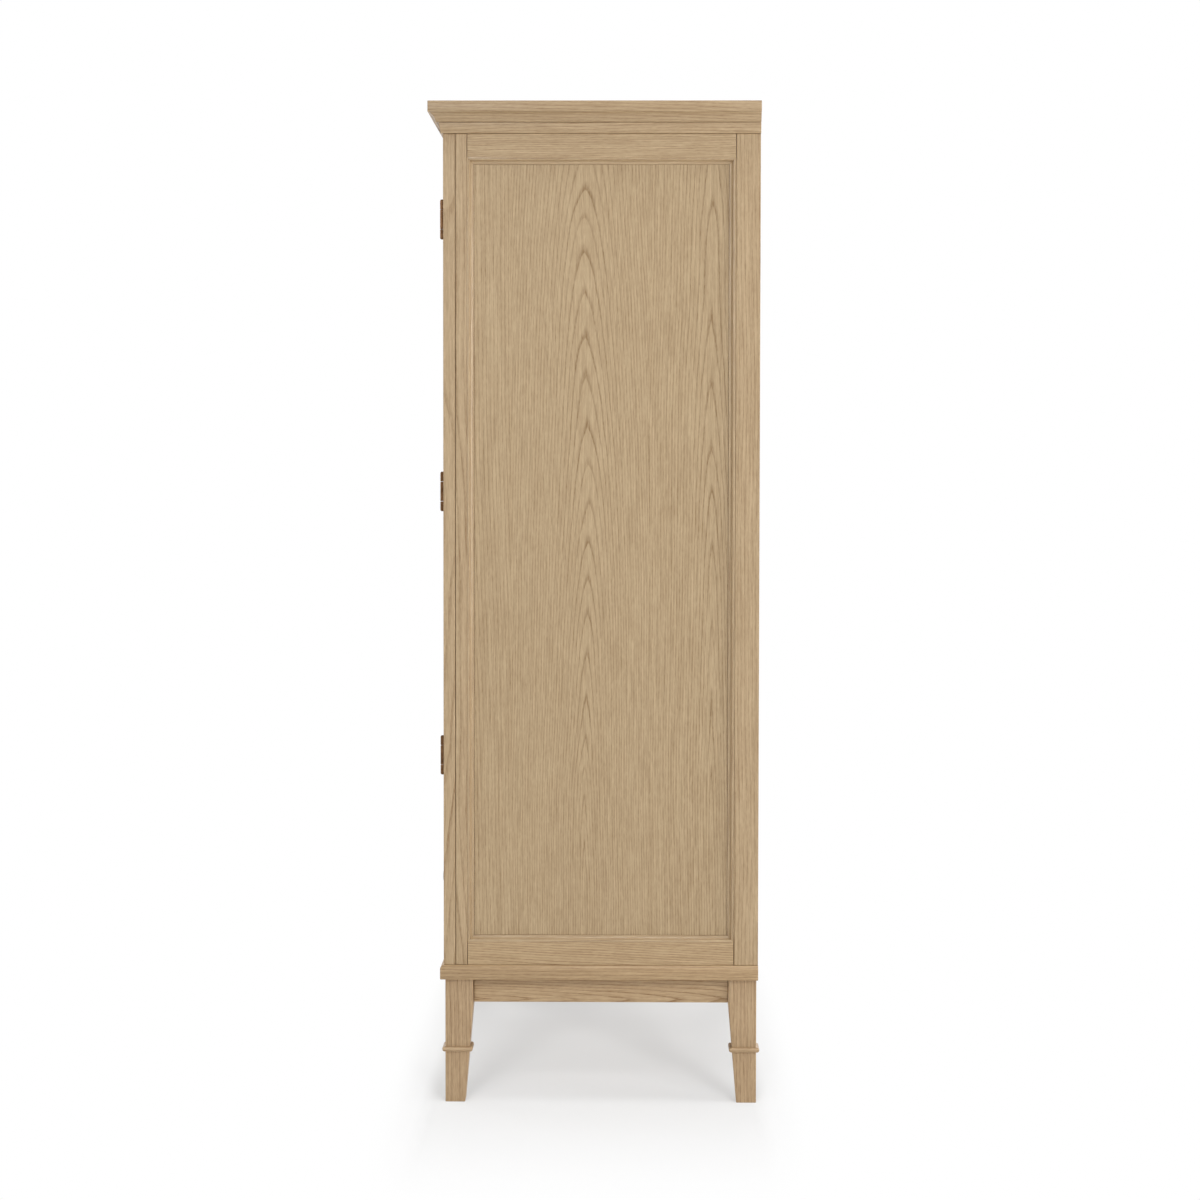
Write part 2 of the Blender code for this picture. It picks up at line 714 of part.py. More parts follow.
def knob_profile():
    """The knob's outline, as radius and height over the wood, from its crown down to its spigot's end."""
    head_bottom = KNOB_PROJECTION - KNOB_HEAD_HEIGHT
    half = KNOB_HEAD_HEIGHT / 2
    crown = [(0.0, KNOB_PROJECTION)]
    for step in range(1, KNOB_HEAD_STEPS):
        turn = math.radians(180) * step / KNOB_HEAD_STEPS
        bulge = math.sin(turn) ** KNOB_HEAD_SQUARENESS
        radius = KNOB_NECK_RADIUS + (KNOB_RADIUS - KNOB_NECK_RADIUS) * bulge
        crown.append((radius, head_bottom + half + half * math.cos(turn)))
    neck = [
        (KNOB_NECK_RADIUS, head_bottom),
        (KNOB_NECK_RADIUS, KNOB_ROSE_THICKNESS + KNOB_ROSE_EDGE),
        (KNOB_ROSE_RADIUS, KNOB_ROSE_THICKNESS),
        (KNOB_ROSE_RADIUS, FIT),
        (KNOB_SPIGOT_RADIUS, FIT),
        (KNOB_SPIGOT_RADIUS, -KNOB_SPIGOT_LENGTH),
        (0.0, -KNOB_SPIGOT_LENGTH),
    ]
    return crown + neck


def build_knob(name, x, height, wood, parent):
    """A turned knob whose spigot sits in a blind hole in the wood behind it."""
    bm = bmesh.new()
    corners = [bm.verts.new((radius, 0.0, level)) for radius, level in knob_profile()]
    for upper, lower in zip(corners, corners[1:]):
        bm.edges.new((upper, lower))
    knob = new_object(name, bm, (x, FRONT, height), parent, BRONZE)
    knob.rotation_euler = (math.radians(90), 0.0, 0.0)
    turned = knob.modifiers.new("turned", "SCREW")
    turned.axis = "Z"
    turned.steps = KNOB_STEPS
    turned.render_steps = KNOB_STEPS
    turned.use_merge_vertices = True
    turned.merge_threshold = 0.00001
    turned.use_smooth_shade = True
    hole_end = FRONT + KNOB_SPIGOT_LENGTH + FIT
    hole = Box(x, x, FRONT - OVERRUN, hole_end, height, height)
    cutter = helper_cylinder(f"{name}_hole", KNOB_SPIGOT_RADIUS + FIT, KNOB_STEPS, hole, "Y")
    cut(wood, cutter)


def build_drawer():
    """The drawer: a solid front lapped over two sides, a back housed in them, and a grooved-in bottom."""
    axis = axis_empty("drawer_axis", (0.0, FRONT, FRAME_BOTTOM))
    front_box = Box(
        -INNER + DRAWER_GAP, INNER - DRAWER_GAP, FRONT, FACE_BACK,
        FRAME_BOTTOM + DRAWER_GAP, DRAWER_OPENING_TOP - DRAWER_GAP,
    )
    front = board("drawer_front", front_box, axis)
    side_box = Box(
        front_box.right - DRAWER_SIDE_THICKNESS, front_box.right,
        FACE_BACK - DRAWER_LAP, BACK_FRONT_FACE - DRAWER_BACK_GAP,
        FRAME_BOTTOM, FRAME_BOTTOM + DRAWER_SIDE_HEIGHT,
    )
    inner = side_box.left
    bottom_box = Box(
        -inner - DRAWER_GROOVE_DEPTH + FIT, inner + DRAWER_GROOVE_DEPTH - FIT,
        FACE_BACK - DRAWER_GROOVE_DEPTH, side_box.back,
        side_box.bottom + DRAWER_BOTTOM_HEIGHT,
        side_box.bottom + DRAWER_BOTTOM_HEIGHT + DRAWER_BOTTOM_THICKNESS,
    )
    board("drawer_bottom", bottom_box, axis, PALE_OAK)
    groove = helper_block(
        "drawer_groove", replace(bottom_box.grown(FIT, FIT, FIT), back=bottom_box.back + OVERRUN)
    )
    back_box = Box(
        -inner - DRAWER_GROOVE_DEPTH + FIT, inner + DRAWER_GROOVE_DEPTH - FIT,
        side_box.back - DRAWER_BACK_INSET - DRAWER_BACK_THICKNESS, side_box.back - DRAWER_BACK_INSET,
        bottom_box.top + FIT, side_box.top - DRAWER_BACK_DROP,
    )
    board("drawer_back", back_box, axis, PALE_OAK)
    back_housing = helper_block(
        "drawer_back_housing", replace(back_box.grown(FIT, FIT, FIT), top=side_box.top + OVERRUN)
    )
    for side in (LEFT, RIGHT):
        drawer_side = board(f"drawer_side_{SIDE_NAMES[side]}", side_box.on(side), axis, PALE_OAK)
        cut(drawer_side, groove)
        cut(drawer_side, back_housing)
        lap = Box(
            side_box.left - FIT, side_box.right + OVERRUN, side_box.front - FIT, FACE_BACK + OVERRUN,
            front_box.bottom - OVERRUN, side_box.top + FIT,
        )
        cut(front, helper_block(f"drawer_lap_{SIDE_NAMES[side]}", lap.on(side)))
        knob_level = (front_box.bottom + front_box.top) / 2
        build_knob(
            f"drawer_knob_{SIDE_NAMES[side]}", side * DRAWER_KNOB_OFFSET, knob_level, front, axis
        )
    cut(front, groove)


def build_cabinet():
    build_stand()
    build_base_board()
    posts = {"front": [], "rear": []}
    for side in (LEFT, RIGHT):
        front_post, rear_post = build_side(side)
        posts["front"].append(front_post)
        posts["rear"].append(rear_post)
    build_inside(posts)
    stiles = build_face_frame()
    for side in (LEFT, RIGHT):
        door_stile, axis = build_door(side)
        for number, level in enumerate(hinge_levels(), start=1):
            build_hinge(side, number, level, stiles[side], door_stile, axis)
    build_drawer()
    build_top()


clear_scene()
PARTS = new_collection("tall_cabinet")
CUTTERS = new_collection("cutters")
build_cabinet()
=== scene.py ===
"""Looks of a tall oak cabinet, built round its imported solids.

Metres, +Z up, front facing -Y, right is +X. Each wooden piece is modelled again with eased edges and its own
oak, and stands for the solid of the same place. Every finished piece keeps its origin at the world's origin.
"""

import logging
import math
import random
from collections.abc import Callable
from dataclasses import dataclass, replace
from enum import Enum

import bmesh
import bpy
from mathutils import Matrix, Vector

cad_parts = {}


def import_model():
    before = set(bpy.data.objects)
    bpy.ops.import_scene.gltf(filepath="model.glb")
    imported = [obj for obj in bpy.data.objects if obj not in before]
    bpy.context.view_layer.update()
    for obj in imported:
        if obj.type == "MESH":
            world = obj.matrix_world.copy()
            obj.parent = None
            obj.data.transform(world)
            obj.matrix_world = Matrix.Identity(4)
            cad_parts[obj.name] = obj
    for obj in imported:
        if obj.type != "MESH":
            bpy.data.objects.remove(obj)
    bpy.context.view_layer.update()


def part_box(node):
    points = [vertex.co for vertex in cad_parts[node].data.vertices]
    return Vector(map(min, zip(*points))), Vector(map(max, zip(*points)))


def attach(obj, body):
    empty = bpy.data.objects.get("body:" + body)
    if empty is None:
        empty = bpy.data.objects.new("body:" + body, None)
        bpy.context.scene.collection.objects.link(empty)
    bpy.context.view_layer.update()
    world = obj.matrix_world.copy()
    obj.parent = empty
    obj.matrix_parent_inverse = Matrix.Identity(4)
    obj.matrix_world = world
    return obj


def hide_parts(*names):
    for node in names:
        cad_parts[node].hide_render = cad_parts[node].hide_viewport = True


Triple = tuple[float, float, float]
Profile = tuple[tuple[float, float], ...]
Corner = bmesh.types.BMVert
Edge = bmesh.types.BMEdge
Face = bmesh.types.BMFace
Piece = bpy.types.Object
Socket = bpy.types.NodeSocket
Feed = Socket | float | tuple[float, ...]

LOG = logging.getLogger("tall_cabinet")

# The axes of a place, a block or a vector.
X, Y, Z = range(3)

# Play between pieces that meet end to end, and on each side of a board for the joint line that shows.
FIT = 0.0003
JOINT_LINE = 0.0003
# Between a panel's leaves and the bead round them.
PANEL_GROOVE = 0.0002
# How far the mitred lengths reach in from a moulded board's edge.
EDGE_STRIP = 0.040
# Distances that count as none, as nearly none, and as one corner.
TOUCHING = 0.0001
NEARBY = 0.001
MERGED = 0.00002
# How alike two faces' normals are that lie in one plane.
SAME_PLANE = 0.999

# The angles in degrees below which two faces are shown as one curve.
SMOOTH_MOULDING = 24.0
SMOOTH_ROUNDING = 30.0
SMOOTH_TURNING = 40.0


class Grain(Enum):
    """Which way the fibres of a board run, as an axis."""

    ACROSS = X
    DEEP = Y
    UPRIGHT = Z


class Cut(Enum):
    """How a board was sawn from its log."""

    CROWN = "crown"
    RIFT = "rift"


class Kind(Enum):
    """What is picked out on a mesh."""

    CORNER = "VERT"
    EDGE = "EDGE"
    FACE = "FACE"


@dataclass(frozen=True)
class Block:
    """An upright block of space between its low and its high corner."""

    low: Triple
    high: Triple

    @staticmethod
    def of_node(node: str) -> "Block":
        """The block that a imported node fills."""
        low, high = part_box(node)
        return Block(tuple(low), tuple(high))

    def centre(self) -> Triple:
        """The middle of the block."""
        return tuple((a + b) / 2 for a, b in zip(self.low, self.high))

    def size(self) -> Triple:
        """The block's length along each axis."""
        return tuple(b - a for a, b in zip(self.low, self.high))

    def between(self, axis: int, low: float, high: float) -> "Block":
        """The same block with other limits along one axis.

        Args:
            axis: X, Y or Z.
            low: The new lower limit.
            high: The new upper limit.

        Returns:
            The new block.
        """
        lows = list(self.low)
        highs = list(self.high)
        lows[axis] = low
        highs[axis] = high
        return Block(tuple(lows), tuple(highs))

    def narrowed(self, margin: float) -> "Block":
        """The block less a margin on its four upright sides.

        Args:
            margin: How much each side gives up.

        Returns:
            The new block.
        """
        off = (margin, margin, 0.0)
        low = tuple(a + m for a, m in zip(self.low, off))
        high = tuple(b - m for b, m in zip(self.high, off))
        return Block(low, high)

    def mirrored(self) -> "Block":
        """The block's mirror image on the other half of the cabinet."""
        return self.between(X, -self.high[X], -self.low[X])


def put_in_scene(name: str, data: bpy.types.ID) -> Piece:
    """Makes an object and puts it in the scene.

    Args:
        name: The object's name.
        data: Its mesh, light or camera.

    Returns:
        The object.
    """
    made = bpy.data.objects.new(name, data)
    bpy.context.scene.collection.objects.link(made)
    return made


class Bench:
    """Hand work on one piece at a time, with Blender's own operators."""

    @staticmethod
    def clear() -> None:
        """Leaves edit mode and lets go of everything."""
        if bpy.context.object and bpy.context.object.mode != "OBJECT":
            bpy.ops.object.mode_set(mode="OBJECT")
        bpy.ops.object.select_all(action="DESELECT")

    @staticmethod
    def take(piece: Piece) -> None:
        """Selects one piece alone and makes it the active one.

        Args:
            piece: The piece.
        """
        Bench.clear()
        piece.select_set(True)
        bpy.context.view_layer.objects.active = piece

    @staticmethod
    def edit(piece: Piece) -> None:
        """Takes a piece into edit mode."""
        Bench.take(piece)
        bpy.ops.object.mode_set(mode="EDIT")

    @staticmethod
    def settle(piece: Piece) -> None:
        """Moves a piece's place into its mesh, so that its origin is the world's."""
        Bench.take(piece)
        bpy.ops.object.transform_apply(location=True, rotation=True, scale=True)

    @staticmethod
    def named(name: str) -> Piece:
        """Names the piece that was just added, and its mesh.

        Args:
            name: The piece's name.

        Returns:
            The piece.
        """
        piece = bpy.context.object
        piece.name = name
        piece.data.name = name
        return piece

    @staticmethod
    def face_out() -> None:
        """Turns all faces of the piece in edit mode outwards, and leaves them selected."""
        bpy.ops.mesh.select_all(action="SELECT")
        bpy.ops.mesh.normals_make_consistent(inside=False)

    @staticmethod
    def smooth(angle: float) -> None:
        """Shows the piece in hand as curved wherever its faces meet below an angle in degrees."""
        bpy.ops.object.shade_smooth_by_angle(angle=math.radians(angle))

    @staticmethod
    def pick(piece: Piece, kind: Kind, chosen: Callable[[Corner | Edge | Face], bool]) -> None:
        """Takes a piece into edit mode and selects a part of its mesh.

        Args:
            piece: The piece to work on.
            kind: Whether corners, edges or faces are selected.
            chosen: Says of each of them whether it is.
        """
        Bench.edit(piece)
        bpy.ops.mesh.select_mode(type=kind.value)
        bpy.ops.mesh.select_all(action="DESELECT")
        mesh = bmesh.from_edit_mesh(piece.data)
        parts = {Kind.CORNER: mesh.verts, Kind.EDGE: mesh.edges, Kind.FACE: mesh.faces}
        for part in parts[kind]:
            part.select = chosen(part)
        if kind is not Kind.FACE:
            mesh.select_flush(kind is Kind.CORNER)
        bmesh.update_edit_mesh(piece.data)

    @staticmethod
    def block(name: str, block: Block) -> Piece:
        """Adds a cube of the block's place and size.

        Args:
            name: The new piece's name.
            block: The space that it fills.

        Returns:
            The new piece.
        """
        Bench.clear()
        bpy.ops.mesh.primitive_cube_add(size=1.0, location=block.centre(), scale=block.size())
        piece = Bench.named(name)
        Bench.settle(piece)
        return piece

    @staticmethod
    def cylinder(name: str, radius: float, low: Vector, high: Vector, sides: int = 32) -> Piece:
        """Adds a cylinder between two points.

        Args:
            name: The new piece's name.
            radius: Its radius.
            low: The middle of one end.
            high: The middle of the other end.
            sides: How many sides it has.

        Returns:
            The new piece.
        """
        Bench.clear()
        along = high - low
        bpy.ops.mesh.primitive_cylinder_add(
            vertices=sides, radius=radius, depth=along.length, location=(low + high) / 2
        )
        piece = Bench.named(name)
        piece.rotation_euler = along.to_track_quat("Z", "Y").to_euler()
        Bench.settle(piece)
        return piece

    @staticmethod
    def line(name: str, points: list[Vector]) -> Piece:
        """Draws an open line of edges, starting from a plane that is merged to a point.

        Args:
            name: The new piece's name.
            points: The corners of the line, in order.

        Returns:
            The new piece, in edit mode and selected all over.
        """
        Bench.clear()
        bpy.ops.mesh.primitive_plane_add(size=0.01, location=points[0])
        piece = Bench.named(name)
        bpy.ops.object.mode_set(mode="EDIT")
        bpy.ops.mesh.select_mode(type="VERT")
        bpy.ops.mesh.select_all(action="SELECT")
        bpy.ops.mesh.merge(type="CENTER")
        for before, after in zip(points, points[1:]):
            bpy.ops.mesh.extrude_vertices_move(TRANSFORM_OT_translate={"value": after - before})
        bpy.ops.mesh.select_all(action="SELECT")
        return piece

    @staticmethod
    def moulding(name: str, outline: list[Vector], run: Vector) -> Piece:
        """Draws a closed outline, fills it and extrudes it to a straight length.

        Args:
            name: The new piece's name.
            outline: The corners of the section at one end.
            run: The way from that end to the other.

        Returns:
            The new piece.
        """
        piece = Bench.line(name, outline)
        bpy.ops.mesh.edge_face_add()
        bpy.ops.mesh.extrude_region_move(TRANSFORM_OT_translate={"value": run})
        Bench.face_out()
        Bench.settle(piece)
        return piece

    @staticmethod
    def lathe(name: str, profile: list[Vector], axis: Vector, steps: int) -> Piece:
        """Turns an open line right round an axis through its first point.

        Args:
            name: The new piece's name.
            profile: The line, which starts and ends on the axis.
            axis: The axis' direction.
            steps: How many sides the turned piece has.

        Returns:
            The new piece, smooth but for its sharp edges.
        """
        piece = Bench.line(name, profile)
        bpy.ops.mesh.spin(steps=steps, angle=math.tau, center=profile[0], axis=axis)
        bpy.ops.mesh.select_all(action="SELECT")
        bpy.ops.mesh.remove_doubles(threshold=MERGED)
        Bench.face_out()
        Bench.settle(piece)
        Bench.smooth(SMOOTH_TURNING)
        return piece

    @staticmethod
    def slice_off(piece: Piece, point: Vector, normal: Vector) -> None:
        """Cuts a piece through and closes the cut.

        Args:
            piece: The piece to cut.
            point: A point of the cut.
            normal: Square to the cut, and pointing at the side that is dropped.
        """
        Bench.edit(piece)
        bpy.ops.mesh.select_all(action="SELECT")
        bpy.ops.mesh.bisect(
            plane_co=point, plane_no=normal, use_fill=True, clear_outer=True, clear_inner=False
        )
        Bench.face_out()
        bpy.ops.object.mode_set(mode="OBJECT")

    @staticmethod
    def ease(piece: Piece, radius: float, steps: int = 3, sharp: float = 35.0) -> None:
        """Rounds every sharp edge, and marks the rounded faces for the finish to find.

        Args:
            piece: The piece to work on.
            radius: How wide each edge is taken off.
            steps: How many faces each edge gets.
            sharp: The least angle in degrees of an edge that is rounded.
        """
        Bench.edit(piece)
        mesh = bmesh.from_edit_mesh(piece.data)
        if "eased" not in mesh.faces.layers.float:
            mesh.faces.layers.float.new("eased")
        flats = [face.normal.copy() for face in mesh.faces]
        bmesh.update_edit_mesh(piece.data)
        bpy.ops.mesh.select_mode(type="EDGE")
        bpy.ops.mesh.select_all(action="DESELECT")
        bpy.ops.mesh.edges_select_sharp(sharpness=math.radians(sharp))
        bpy.ops.mesh.bevel(offset=radius, segments=steps, affect="EDGES", clamp_overlap=True)
        mesh = bmesh.from_edit_mesh(piece.data)
        mark = mesh.faces.layers.float["eased"]
        for face in mesh.faces:
            if all(face.normal.dot(flat) < SAME_PLANE for flat in flats):
                face[mark] = 1.0
        bmesh.update_edit_mesh(piece.data)
        bpy.ops.object.mode_set(mode="OBJECT")

    @staticmethod
    def round_over(piece: Piece, chosen: Callable[[Edge], bool], radius: float, steps: int = 5) -> None:
        """Rounds chosen edges broadly.

        Args:
            piece: The piece to work on.
            chosen: Says of an edge whether it is rounded.
            radius: The rounding's radius.
            steps: How many faces it gets.
        """
        Bench.pick(piece, Kind.EDGE, chosen)
        bpy.ops.mesh.bevel(offset=radius, segments=steps, affect="EDGES", clamp_overlap=True)
        bpy.ops.object.mode_set(mode="OBJECT")
        Bench.smooth(SMOOTH_ROUNDING)

    @staticmethod
    def shift(piece: Piece, chosen: Callable[[Corner], bool], way: Vector) -> None:
        """Moves the chosen corners of a piece.

        Args:
            piece: The piece to work on.
            chosen: Says of a corner whether it moves.
            way: How far and which way they move.
        """
        Bench.pick(piece, Kind.CORNER, chosen)
        bpy.ops.transform.translate(value=way)
        bpy.ops.object.mode_set(mode="OBJECT")

    @staticmethod
    def copy(piece: Piece, name: str, way: Vector = Vector(), flip: tuple[int, int] = (1, 1)) -> Piece:
        """Copies a settled piece, mesh and all, then turns the copy over and moves it.

        Args:
            piece: The piece to copy.
            name: The copy's name.
            way: How far and which way it moves.
            flip: -1 along X or Y for a mirror image across the world's middle, else 1.

        Returns:
            The copy.
        """
        mesh = piece.data.copy()
        mesh.name = name
        made = put_in_scene(name, mesh)
        made.location = way
        made.scale = (*flip, 1)
        Bench.settle(made)
        if flip[X] * flip[Y] < 0:
            bpy.ops.object.mode_set(mode="EDIT")
            Bench.face_out()
            bpy.ops.object.mode_set(mode="OBJECT")
        return made

    @staticmethod
    def join(pieces: list[Piece], name: str) -> Piece:
        """Makes one object of several.

        Args:
            pieces: The pieces to join.
            name: The joined piece's name.

        Returns:
            The joined piece.
        """
        Bench.clear()
        for piece in pieces:
            piece.select_set(True)
        bpy.context.view_layer.objects.active = pieces[0]
        bpy.ops.object.join()
        return Bench.named(name)


@dataclass(frozen=True)
class Ripple:
    """A soft noise: its waves per metre along each axis, its finer layers, and a shift of its own."""

    waves: Triple
    layers: float
    shift: float


class Wiring:
    """Adds the nodes of one material or node group, and joins them."""

    # Blender's mixing node has its sockets for colours at these places.
    MIX_SHARE, MIX_FIRST, MIX_SECOND, MIX_RESULT = 0, 6, 7, 2

    def __init__(self, tree: bpy.types.NodeTree) -> None:
        """Starts on a tree, which keeps the nodes that it has."""
        self.tree = tree

    def add(self, kind: str, **settings: object) -> bpy.types.Node:
        """Adds a node.

        Args:
            kind: Blender's name for its kind.
            **settings: What is set on it.

        Returns:
            The node.
        """
        node = self.tree.nodes.new(kind)
        for name, value in settings.items():
            setattr(node, name, value)
        return node

    def feed(self, socket: Socket, value: Feed) -> None:
        """Joins an output to a socket, or sets the socket to a plain value.

        Args:
            socket: The socket that takes it.
            value: The output or the value.
        """
        if isinstance(value, Socket):
            self.tree.links.new(value, socket)
        else:
            socket.default_value = value

    def maths(self, operation: str, *values: Feed, clamp: bool = False) -> Socket:
        """Works on plain numbers.

        Args:
            operation: Blender's name for what is done.
            *values: What it is done to, in order.
            clamp: Whether the result is kept between 0 and 1.

        Returns:
            The result.
        """
        node = self.add("ShaderNodeMath", operation=operation, use_clamp=clamp)
        for socket, value in zip(node.inputs, values):
            self.feed(socket, value)
        return node.outputs[0]

    def vector(self, operation: str, *values: Feed) -> Socket:
        """Works on vectors.

        Args:
            operation: Blender's name for what is done.
            *values: What it is done to, in order.

        Returns:
            The result, a plain number for a length and a vector for all else.
        """
        node = self.add("ShaderNodeVectorMath", operation=operation)
        for socket, value in zip(node.inputs, values):
            self.feed(socket, value)
        return node.outputs["Value" if operation == "LENGTH" else "Vector"]

    def split(self, vector: Socket) -> tuple[Socket, ...]:
        """Takes a vector apart.

        Args:
            vector: The vector.

        Returns:
            Its parts along X, Y and Z.
        """
        node = self.add("ShaderNodeSeparateXYZ")
        self.feed(node.inputs[0], vector)
        return tuple(node.outputs)

    def noise(self, place: Socket, ripple: Ripple) -> Socket:
        """Draws a soft noise about zero.

        Args:
            place: The point to look up.
            ripple: The kind of noise.

        Returns:
            The noise, mostly between -0.3 and 0.3.
        """
        shift = ripple.shift
        at = self.vector("MULTIPLY", place, ripple.waves)
        at = self.vector("ADD", at, (shift, -shift, shift / 2))
        node = self.add("ShaderNodeTexNoise")
        self.feed(node.inputs["Vector"], at)
        self.feed(node.inputs["Scale"], 1.0)
        self.feed(node.inputs["Detail"], ripple.layers)
        return self.maths("SUBTRACT", node.outputs["Fac"], 0.5)

    def step(self, value: Socket, start: float, end: float, low: float = 0.0, high: float = 1.0) -> Socket:
        """Draws a smooth step.

        Args:
            value: What it depends on.
            start: The value where the step starts.
            end: The value where it ends.
            low: The level before it.
            high: The level after it.

        Returns:
            The level.
        """
        node = self.add("ShaderNodeMapRange", interpolation_type="SMOOTHSTEP")
        for socket, number in zip(node.inputs, (value, start, end, low, high)):
            self.feed(socket, number)
        return node.outputs[0]

    def mix(self, share: Feed, first: Feed, second: Feed, blend: str = "MIX") -> Socket:
        """Mixes two colours.

        Args:
            share: How much of the second colour there is.
            first: The first colour.
            second: The second colour.
            blend: Blender's name for the way they mix.

        Returns:
            The mixed colour.
        """
        node = self.add("ShaderNodeMix", data_type="RGBA", blend_type=blend)
        self.feed(node.inputs[self.MIX_SHARE], share)
        self.feed(node.inputs[self.MIX_FIRST], first)
        self.feed(node.inputs[self.MIX_SECOND], second)
        return node.outputs[self.MIX_RESULT]

    def mix_shaders(self, share: Socket, first: bpy.types.Node, second: bpy.types.Node) -> bpy.types.Node:
        """Mixes two shaders.

        Args:
            share: How much of the second shader there is.
            first: The first shader.
            second: The second shader.

        Returns:
            The mixed shader.
        """
        node = self.add("ShaderNodeMixShader")
        for socket, value in zip(node.inputs, (share, first.outputs[0], second.outputs[0])):
            self.feed(socket, value)
        return node

    def total(self, *parts: tuple[Socket, float]) -> Socket:
        """Adds shares up.

        Args:
            *parts: The shares, each a socket and its weight.

        Returns:
            Their sum.
        """
        result = None
        for socket, weight in parts:
            part = self.maths("MULTIPLY", socket, weight)
            result = part if result is None else self.maths("ADD", result, part)
        return result

    def surface(
        self, colour: Socket, roughness: Socket, relief: Socket, strength: float, depth: float
    ) -> None:
        """Feeds a material's plain shader.

        Args:
            colour: The surface's colour.
            roughness: Its roughness.
            relief: How far it stands out, as a share of the depth.
            strength: How strongly the relief shows.
            depth: The relief's depth.
        """
        bump = self.add("ShaderNodeBump")
        self.feed(bump.inputs["Strength"], strength)
        self.feed(bump.inputs["Distance"], depth)
        self.feed(bump.inputs["Height"], relief)
        shader = self.tree.nodes["Principled BSDF"]
        self.feed(shader.inputs["Base Color"], colour)
        self.feed(shader.inputs["Roughness"], roughness)
        self.feed(shader.inputs["Normal"], bump.outputs["Normal"])


def open_material(name: str) -> tuple[bpy.types.Material, Wiring]:
    """Makes a new material with a plain shader.

    Args:
        name: Its name.

    Returns:
        The material and the wiring of its nodes.
    """
    made = bpy.data.materials.new(name)
    made.use_nodes = True
    return made, Wiring(made.node_tree)


@dataclass(frozen=True)
class Figure:
    """How a board lay in its log, which is what draws its grain.

    The heart is how far to one side of the board's middle the log's heart lies, and the depth how far behind
    the face. The rise is how much deeper it lies per metre along the board, which stacks up the arches of a
    crown cut. The ring is the width of a year's growth.
    """

    heart: float
    depth: float
    rise: float
    ring: float
    contrast: float = 1.0


@dataclass(frozen=True)
class Oak:
    """An oiled oak finish: its pale and its dark wood, and how rough it is."""

    slot: str
    pale: Triple
    dark: Triple
    roughness: float = 0.34


@dataclass(frozen=True)
class Wood:
    """The wood of one piece.

    Its block is the piece's place, and its grain the way of its fibres. The cut says how it was sawn, or is
    its own figure. The face is the axis through the board, where that isn't its thinnest way.
    """

    block: Block
    grain: Grain
    oak: Oak
    cut: Cut | Figure = Cut.RIFT
    face: int | None = None


